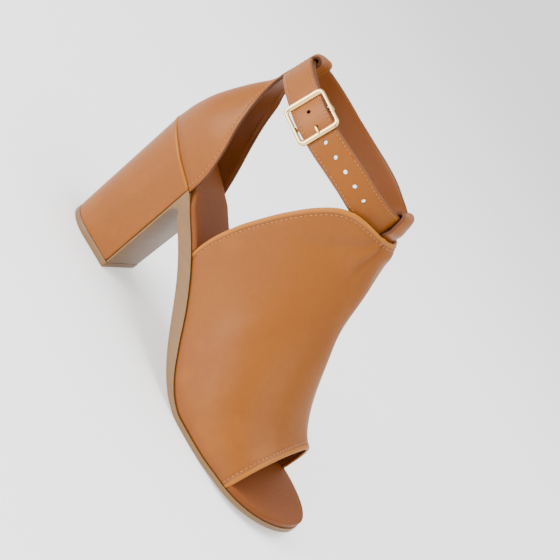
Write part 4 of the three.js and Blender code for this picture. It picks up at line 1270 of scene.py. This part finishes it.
def band_shell(middle, normals, width, thickness):
    """Flat strap along a middle line: rounded edges, with width across and thickness through."""
    half = thickness / 2
    columns = 9
    across = spread(-1, 1, columns)
    rim = spread(0, math.pi, 6)[1:-1]
    tangent = unit(np.gradient(middle, axis=0))
    side = unit(np.cross(tangent, normals))
    flat = width / 2 - 0.5 * half
    ring, tags, edge = [], [], []
    for c in across:
        ring.append((c * flat, half))
        tags.append(0)
    for a in rim:
        ring.append((flat + 0.5 * half * math.sin(a), half * math.cos(a)))
        tags.append(a / math.pi)
    for c in across[::-1]:
        ring.append((c * flat, -half))
        tags.append(1)
    for a in rim:
        ring.append((-flat - 0.5 * half * math.sin(a), -half * math.cos(a)))
        tags.append(1 - a / math.pi)
    for offset, _ in ring:
        edge.append(width / 2 - abs(offset))
    ring = np.array(ring)
    rings = middle[:, None] + side[:, None] * ring[None, :, :1] + normals[:, None] * ring[None, :, 1:]
    points, faces = loft(rings)
    values = {"depth": np.tile(tags, len(middle)), "edge": np.tile(edge, len(middle)),
              "shade": np.zeros(len(points))}
    return points, faces, values, side


FOLD_RADIUS = CENTRE_BAR_RADIUS + GAP + STRAP_THICKNESS / 2
LAYER = STRAP_THICKNESS + GAP
OVER_BAR = FOLD_RADIUS - BAR_SINK
# Strap end folded back inside the ring: run from the bar, distance out in layers
FOLD_ROWS = [(15, -1), (8.5, -1.02), (4.5, -1.24), (2, -1.48)]
# Free end over the strap: run from the bar, distance out in layers
FREE_ROWS = [
    (-34, 0), (-26, 0.1), (-19, 0.5), (-13, 0.93), (-9, 1), (-5.5, 1.22), (0, 1.46), (5.5, 1.22),
    (9, 1), (20, 1),
]
free_share = blend(FREE_ROWS, 1)


def free_lift(run):
    return float(free_share(min(max(run, FREE_ROWS[0][0]), FREE_ROWS[-1][0]))) * LAYER


def strap_route():
    """Pairs of run along the ring and distance out, from the folded end to the free end."""
    route = [(run, out * LAYER) for run, out in FOLD_ROWS]
    for turn in spread(-math.pi / 2, math.pi / 2, 7):
        route.append((-FOLD_RADIUS * math.cos(turn), FOLD_RADIUS * math.sin(turn) - BAR_SINK))
    route += [(run, OVER_BAR * (1 - run / 8) ** 2) for run in (2.5, 5, 8)]
    route += [(run, 0) for run in spread(12, RING_ROUND + FREE_ROWS[0][0], 51)]
    reach = ring_run(float(loop_angle(BACK_ANGLE, OUTER))) - 3 * GAP
    for run in spread(FREE_ROWS[0][0], reach, 31)[1:]:
        route.append((RING_ROUND + run, free_lift(run)))
    return np.array(route)


def strap_middle(dense=430):
    route = strap_route()
    middle = on_ring(ring_angle(route[:, 0]), route[:, 1], np.zeros(len(route)))
    length = path_length(middle)
    marks = np.interp(spread(0, length[-1], dense), length, np.arange(len(length)))
    smooth_middle = spline(middle, marks)
    runs = np.interp(marks, np.arange(len(route)), route[:, 0])
    up = ring_frame(ring_angle(runs))[2]
    tangent = unit(np.gradient(smooth_middle, axis=0))
    return smooth_middle, unit(np.cross(up, tangent)), runs


FAR_FROM_EDGE = 9.0


def subtract(piece, cutter):
    """Cuts one closed mesh out of another; the cut faces take the piece's second material."""
    for polygon in cutter.data.polygons:
        polygon.material_index = 1
    for slot in piece.data.materials:
        cutter.data.materials.append(slot)
    modifier = piece.modifiers.new("Cut", "BOOLEAN")
    modifier.operation = "DIFFERENCE"
    modifier.solver = "EXACT"
    modifier.object = cutter
    graph = bpy.context.evaluated_depsgraph_get()
    cut = bpy.data.meshes.new_from_object(piece.evaluated_get(graph))
    piece.modifiers.clear()
    piece.data = cut
    bpy.data.objects.remove(cutter)
    value_new_points(cut)


def value_new_points(mesh):
    """Gives the points of a cut the values of the leather's face round them."""
    work = bmesh.new()
    work.from_mesh(mesh)
    edge, depth = (work.verts.layers.float[key] for key in ("edge", "depth"))
    fresh = [v for v in work.verts if v[edge] == 0 and v[depth] == 0]
    for vert in fresh:
        around = [v[depth] for face in vert.link_faces if face.material_index == 0 for v in face.verts]
        vert[depth] = 1.0 if around and max(around) > 0.9 else 0.0
        vert[edge] = FAR_FROM_EDGE
    work.to_mesh(mesh)
    work.free()


def far_from_edges(count):
    """Values of a leather's outer face away from its edges."""
    return {"edge": [FAR_FROM_EDGE] * count, "depth": [0.0] * count, "shade": [0.0] * count}


def hole_runs():
    return [HOLE_PITCH - LAST_HOLE_REACH - hole * HOLE_PITCH for hole in range(HOLE_COUNT)]


def buckle_axes():
    along, _, up = (axis[0] for axis in ring_frame(np.array([BUCKLE_ANGLE])))
    forward = -along
    return ring_at(np.array([BUCKLE_ANGLE]))[0], forward, up, np.cross(forward, up)


def in_buckle(points):
    """Points given along the strap, across it and out of it, as shoe millimetres."""
    centre, forward, across, out = buckle_axes()
    points = np.asarray(points, float)
    return centre + points[..., :1] * forward + points[..., 1:2] * across + points[..., 2:] * out


def make_strap():
    middle, normals, runs = strap_middle()
    points, faces, values, side = band_shell(middle, normals, STRAP_WIDTH, STRAP_THICKNESS)
    piece = to_object("strap_leather", points, faces, values=values)
    piece.data.materials.append(finish_named("strap_leather"))
    # Second material: the edge-paint colour on the hole and slot walls, as painted shade inside them
    piece.data.materials.append(finish_named("hole_painted_shade"))
    pins, pin_faces = [], []
    for run in hole_runs():
        angle = ring_angle(np.array([RING_ROUND + run]))
        _, out, _ = ring_frame(angle)
        centre = on_ring(angle, np.array([free_lift(run)]), np.array([0.0]))[0]
        reach = STRAP_THICKNESS / 2 + 0.25
        path = np.array([centre - out[0] * reach, centre + out[0] * reach])
        along = ring_frame(angle)[0][0]
        shape, shape_faces = sweep(path, np.array([along, along]), circle(HOLE_RADIUS, 20))
        pin_faces += [[k + len(pins) * len(shape) for k in face] for face in shape_faces]
        pins.append(shape)
    pins = np.concatenate(pins)
    cutter = to_object("hole_pins", pins, pin_faces, values=far_from_edges(len(pins)))
    subtract(piece, cutter)
    slot_front = FOLD_RADIUS + STRAP_THICKNESS / 2 + 0.2
    slot_back = -(CENTRE_BAR_RADIUS + 2 * PRONG_RADIUS + 3 * GAP + 0.4)
    slot_half = PRONG_RADIUS + GAP
    low = -(BAR_SINK + FOLD_RADIUS + STRAP_THICKNESS / 2 + 0.5)
    high = OVER_BAR + STRAP_THICKNESS / 2 + GAP / 2
    ring = [
        (slot_back, -slot_half), (slot_front, -slot_half), (slot_front, slot_half), (slot_back, slot_half)]
    corners = [[in_buckle((x, y, z)) for x, y in ring] for z in (low, high)]
    slot_points, slot_faces = loft(corners)
    values = far_from_edges(len(slot_points))
    subtract(piece, to_object("prong_slot", slot_points, slot_faces, values=values))
    piece.data.shade_smooth()
    add_bevel_normals(piece, 42)
    finish_piece(piece, "upper_leather", "ankle_strap")
    inset = STRAP_HALF - sizes().strap_stitch_inset / MM
    lift = STRAP_THICKNESS / 2 + 0.06
    covered = (runs > 12) & (runs < RING_ROUND + FREE_ROWS[0][0] + 5)
    free = runs > RING_ROUND - 27
    lines = []
    for part in (covered, free):
        for sign in (-1, 1):
            line = middle[part] + side[part] * sign * inset + normals[part] * lift
            lines.append((line[1:-1], normals[part][1:-1]))
    end = np.flatnonzero(free)[-4]
    cross = middle[end] + side[end] * spread(-inset, inset, 12)[:, None] + normals[end] * lift
    lines.append((cross, np.repeat(normals[end][None], 12, axis=0)))
    sew("strap_stitches", lines, pitch=0.85, length=0.82, width=0.8)


def vamp_across(u, y):
    low, high = -0.6, 0.6
    for _ in range(40):
        w = (low + high) / 2
        if vamp_point(u, w)[..., 1] < y:
            low = w
        else:
            high = w
    return low


def on_vamp(u, q, away):
    """Points at a distance away from the vamp's outer face, across the front loop's width."""
    points = []
    for value in np.atleast_1d(q):
        w = vamp_across(u, value * LOOP_WIDTH / 2)
        p = vamp_point(u, w)
        along = vamp_point(u - 0.004, w) - p
        across = vamp_point(u, w + 0.004) - p
        points.append(p + unit(np.cross(along, across)) * away)
    return np.array(points)


# Front loop: shares of its clearance out of the ring and down, and of the strap's half width up
BEHIND_STRAP = [(0.7, 1.45, -1), (-0.6, 1.2, -1), (-1.13, 0, -0.8), (-1, 0, -0.2), (-1, 0, 0.5), (-1, 0, 1)]
BEFORE_STRAP = [(1.3, 0.55), (1.5, 0.12), (1.02, -0.52)]


def make_front_loop():
    half = LOOP_THICKNESS / 2
    clear = LOOP_CLEAR + half
    q = spread(-1, 1, 21)

    def ring_row(out, up, narrow=1.0):
        return on_ring(loop_angle(FRONT_ANGLE, q * narrow), np.full(len(q), out), np.full(len(q), up))

    inside = -WALL - 1.5 * GAP - half
    rows = [on_vamp(u, q, inside) for u in (0.885, 0.905)]
    rows += [ring_row(out * clear, up * STRAP_HALF - drop * clear) for out, drop, up in BEHIND_STRAP]
    for t in (0.75, 0.5, 0.25, 0):
        turn = t * math.pi
        rows.append(ring_row(clear * math.cos(turn), STRAP_HALF + clear * math.sin(turn)))
    rows += [ring_row(out * clear, up * STRAP_HALF) for out, up in BEFORE_STRAP]
    rows += [on_vamp(u, q, inside) for u in (0.974, 0.955)]
    lines = spline(np.array(rows), spread(0, len(rows) - 1, 150))
    normals = grid_normals(lines)
    lengths = np.linalg.norm(np.diff(lines, axis=1), axis=2)
    run = np.concatenate([np.zeros((len(lines), 1)), np.cumsum(lengths, axis=1)], axis=1)
    distance = np.minimum(run, run[:, -1:] - run)
    outer = lines + normals * half
    points, faces, depth = wall_shell(outer, LOOP_THICKNESS, bulge=0.55)
    columns = outer.shape[1]
    rim = len(depth) // len(outer) - 2 * columns
    zero = np.zeros((len(outer), rim // 2))
    edge = np.concatenate([distance, zero, distance[:, ::-1], zero], axis=1)
    piece = to_object("front_loop_leather", points, faces, values={
        "edge": edge.ravel(), "depth": depth, "shade": np.zeros(len(depth))})
    piece.data.materials.append(finish_named("loop_leather"))
    finish_piece(piece, "upper_leather", "front_loop")


FRAME_LOW = OVER_BAR + STRAP_THICKNESS


def rounded_outline(length, width, corner, steps):
    points = []
    for centre_x, centre_y, start in ((1, -1, -90), (1, 1, 0), (-1, 1, 90), (-1, -1, 180)):
        for angle in np.radians(spread(start, start + 90, steps)):
            points.append((centre_x * (length / 2 - corner) + corner * math.cos(angle),
                           centre_y * (width / 2 - corner) + corner * math.sin(angle)))
    return np.array(points)


def make_buckle():
    steps = 10
    outside = rounded_outline(BUCKLE_LENGTH, BUCKLE_WIDTH, BUCKLE_CORNER, steps)
    inside = rounded_outline(BUCKLE_LENGTH - 2 * END_BAR_WIDTH, BUCKLE_WIDTH - 2 * RAIL_WIDTH, 1.2, steps)
    profile = [(0.04, 0), (0, 0.14), (0, 0.42), (0.06, 0.62), (0.22, 0.9), (0.36, 1), (0.56, 1),
               (0.76, 0.84), (0.95, 0.5), (1, 0.36), (1, 0.14), (0.96, 0)]
    rings = []
    for outer, inner in zip(outside, inside):
        ring = [(*lerp(outer, inner, share), FRAME_LOW + height * BUCKLE_THICKNESS)
                for share, height in profile]
        rings.append(in_buckle(ring))
    count = len(profile)
    points = np.array(rings).reshape(-1, 3)
    faces = []
    for i in range(len(rings)):
        for j in range(count):
            k, n = (j + 1) % count, (i + 1) % len(rings)
            faces.append((i * count + j, i * count + k, n * count + k, n * count + j))
    piece = to_object("buckle_gold", points, faces)
    rail = (BUCKLE_WIDTH - RAIL_WIDTH) / 2
    ys = spread(-rail, rail, 25)
    bow = [(0, y, -BAR_SINK) for y in ys]
    rise = [(0, -rail, z) for z in spread(FRAME_LOW + BUCKLE_THICKNESS / 2, -BAR_SINK, 8)[:-1]]
    path = rise + bow + [(0, rail, z) for z in spread(-BAR_SINK, FRAME_LOW + BUCKLE_THICKNESS / 2, 8)[1:]]
    path = in_buckle(path)
    forward = buckle_axes()[1]
    bar_points, bar_faces = sweep(
        path, np.repeat(forward[None], len(path), axis=0), circle(CENTRE_BAR_RADIUS, 14))
    bar = to_object("buckle_bar_gold", bar_points, bar_faces)
    for part in (piece, bar):
        part.data.materials.append(finish_named("pale_gold"))
        add_bevel_normals(part, 28)
        finish_piece(part, "buckle_metal", "buckle_frame")


def make_prong():
    turn = CENTRE_BAR_RADIUS + GAP + PRONG_RADIUS
    centre, forward, across, out = buckle_axes()
    basis = np.array([forward, across, out])

    def hole(distance):
        angle = ring_angle(np.array([RING_ROUND - LAST_HOLE_REACH]))
        return basis @ (on_ring(angle, np.array([distance]), np.array([0.0]))[0] - centre)

    strap_out = free_lift(-LAST_HOLE_REACH)
    rest = FRAME_LOW + BUCKLE_THICKNESS + GAP / 2 + PRONG_RADIUS
    route = [(turn * math.cos(a), 0, turn * math.sin(a) - BAR_SINK)
             for a in spread(-0.2 * math.pi, -1.5 * math.pi, 9)]
    entry, leave = hole(strap_out - STRAP_THICKNESS / 2), hole(strap_out + STRAP_THICKNESS / 2)
    route += [(FOLD_RADIUS + 0.2, 0, 0.5), (entry[0] - 1.5, 0, 0.25), (entry[0] - 0.35, 0, entry[2] - 0.55)]
    route += [tuple(hole(strap_out)), (leave[0] + 0.1, 0, leave[2] + 0.3), (leave[0] + 0.9, 0, rest - 0.25)]
    route += [(leave[0] + 2.2, 0, rest), (BUCKLE_LENGTH / 2 - 0.8, 0, rest)]
    path = spline(np.array(route, float), spread(0, len(route) - 1, 90))
    taper = np.ones(len(path))
    taper[-14:] = lerp(1, 0.82, spread(0, 1, 14))
    taper[-4:] = [0.78, 0.66, 0.45, 0.2]
    taper[:3] = [0.4, 0.75, 0.95]
    profile = circle(PRONG_RADIUS, 12)[None] * taper[:, None, None]
    points, faces = sweep(in_buckle(path), np.repeat(across[None], len(path), axis=0), profile)
    piece = to_object("prong_gold", points, faces)
    piece.data.materials.append(finish_named("pale_gold"))
    finish_piece(piece, "buckle_metal", "buckle_prong")


# Stage


def make_floor():
    mesh = bpy.data.meshes.new("floor")
    reach = 60.0
    corners = [(-reach, -reach, 0), (reach, -reach, 0), (reach, reach, 0), (-reach, reach, 0)]
    mesh.from_pydata(corners, [], [(0, 1, 2, 3)])
    floor = bpy.data.objects.new("floor", mesh)
    bpy.context.scene.collection.objects.link(floor)
    finish = Finish("pale_floor", Roughness=0.7, Emission_Color=(1, 1, 1, 1), Emission_Strength=0.6)
    mottle = finish.noise(3.0, 2.0, 0.5)
    base = tuple(colours().floor)
    finish.feed("Base Color", mottle.mix(base, tuple(0.98 * c for c in base)))
    mesh.materials.append(finish.material)


def make_camera():
    """Camera at the photograph's angle to the shoe, rolled as the shoe is tilted there."""
    data = bpy.data.cameras.new("camera")
    camera = bpy.data.objects.new("camera", data)
    bpy.context.scene.collection.objects.link(camera)
    azimuth, elevation, roll = sizes().view_azimuth, sizes().view_elevation, sizes().view_roll
    back = Vector((math.sin(azimuth) * math.cos(elevation), -math.cos(azimuth) * math.cos(elevation),
                   math.sin(elevation)))
    right = Vector((math.cos(azimuth), math.sin(azimuth), 0))
    up = back.cross(right)
    turned_right = right * math.cos(roll) - up * math.sin(roll)
    turned_up = right * math.sin(roll) + up * math.cos(roll)
    low, high = CAD_BOX
    aim = Vector(((low.x + high.x) / 2 - 0.004, 0, 0.5 * high.z - 0.005))
    place = aim + back * sizes().view_distance
    rotation = Matrix((turned_right, turned_up, back)).transposed().to_4x4()
    camera.matrix_world = Matrix.Translation(place) @ rotation
    data.lens = sizes().view_lens
    data.sensor_width = 36
    data.clip_start = 0.01
    data.clip_end = 200
    bpy.context.scene.camera = camera
    return turned_right, turned_up, back, aim


def add_area(name, place, aim, size, power, colour=(1, 1, 1)):
    data = bpy.data.lights.new(name, "AREA")
    data.shape = "RECTANGLE"
    data.size, data.size_y = size
    data.energy = power
    data.color = colour
    light = bpy.data.objects.new(name, data)
    bpy.context.scene.collection.objects.link(light)
    back = (place - aim).normalized()
    light.matrix_world = Matrix.Translation(place) @ back.to_track_quat("Z", "Y").to_matrix().to_4x4()


def make_lights(right, up, back, aim):
    """Soft light from the camera's upper left, a weak fill and a pale surround."""
    add_area("key_light", aim + back * 0.9 + up * 0.9 - right * 0.55, aim, (1.0, 1.0), 36)
    add_area("fill_light", aim + back * 0.8 + right * 1.1 - up * 0.1, aim, (1.2, 1.2), 10)
    add_area("top_light", aim + Vector((0.1, 0.2, 1.5)), aim, (1.4, 1.4), 22)
    world = bpy.data.worlds.new("surround")
    bpy.context.scene.world = world
    world.use_nodes = True
    surround = world.node_tree.nodes["Background"]
    surround.inputs["Color"].default_value = (1, 1, 1, 1)
    surround.inputs["Strength"].default_value = 1.0


# Operators


def operator(name, label, words, make):
    """Operator class for one piece or group of like pieces."""
    def execute(self, context):
        make()
        return {"FINISHED"}

    return type("SANDAL_OT_" + name, (bpy.types.Operator,), {
        "bl_idname": "sandal." + name, "bl_label": label, "__doc__": words, "execute": execute})


def make_stage():
    make_floor()
    make_lights(*make_camera())


OPERATORS = [
    operator("stage", "Stage", "Makes the floor, the lights and the camera", make_stage),
    operator("outsole", "Outsole", "Makes the taupe sole with its flap down the heel", make_outsole),
    operator("insole", "Insole", "Makes the padded insole", make_insole),
    operator("heel", "Heel", "Makes the covered block heel and its wear piece", make_heel),
    operator("vamp", "Vamp", "Makes the vamp with folded, stitched edges", make_vamp),
    operator("heel_cup", "Heel cup", "Makes the heel cup that ends in the strap's back loop", make_heel_cup),
    operator("strap", "Ankle strap", "Makes the punched and stitched ankle strap", make_strap),
    operator("front_loop", "Front loop", "Makes the loop on the vamp's top", make_front_loop),
    operator("buckle", "Buckle", "Makes the buckle's frame and bar", make_buckle),
    operator("prong", "Prong", "Makes the buckle's prong", make_prong),
]


class SANDAL_PT_panel(bpy.types.Panel):
    """Sizes, colours and pieces of the sandal"""

    bl_label = "Sandal"
    bl_space_type = "VIEW_3D"
    bl_region_type = "UI"
    bl_category = "Sandal"

    def draw(self, context):
        for group in (context.scene.sandal_sizes, context.scene.sandal_colours):
            for key in group.__annotations__:
                self.layout.prop(group, key)
        for maker in OPERATORS:
            self.layout.operator(maker.bl_idname)


CLASSES = [SandalSizes, SandalColours, *OPERATORS, SANDAL_PT_panel]


def register():
    for part in CLASSES:
        bpy.utils.register_class(part)
    bpy.types.Scene.sandal_sizes = PointerProperty(type=SandalSizes)
    bpy.types.Scene.sandal_colours = PointerProperty(type=SandalColours)


def unregister():
    del bpy.types.Scene.sandal_colours
    del bpy.types.Scene.sandal_sizes
    for part in reversed(CLASSES):
        bpy.utils.unregister_class(part)


def main():
    register()
    for maker in OPERATORS:
        getattr(bpy.ops.sandal, maker.bl_idname.split(".")[1])()


if __name__ == "__main__":
    main()
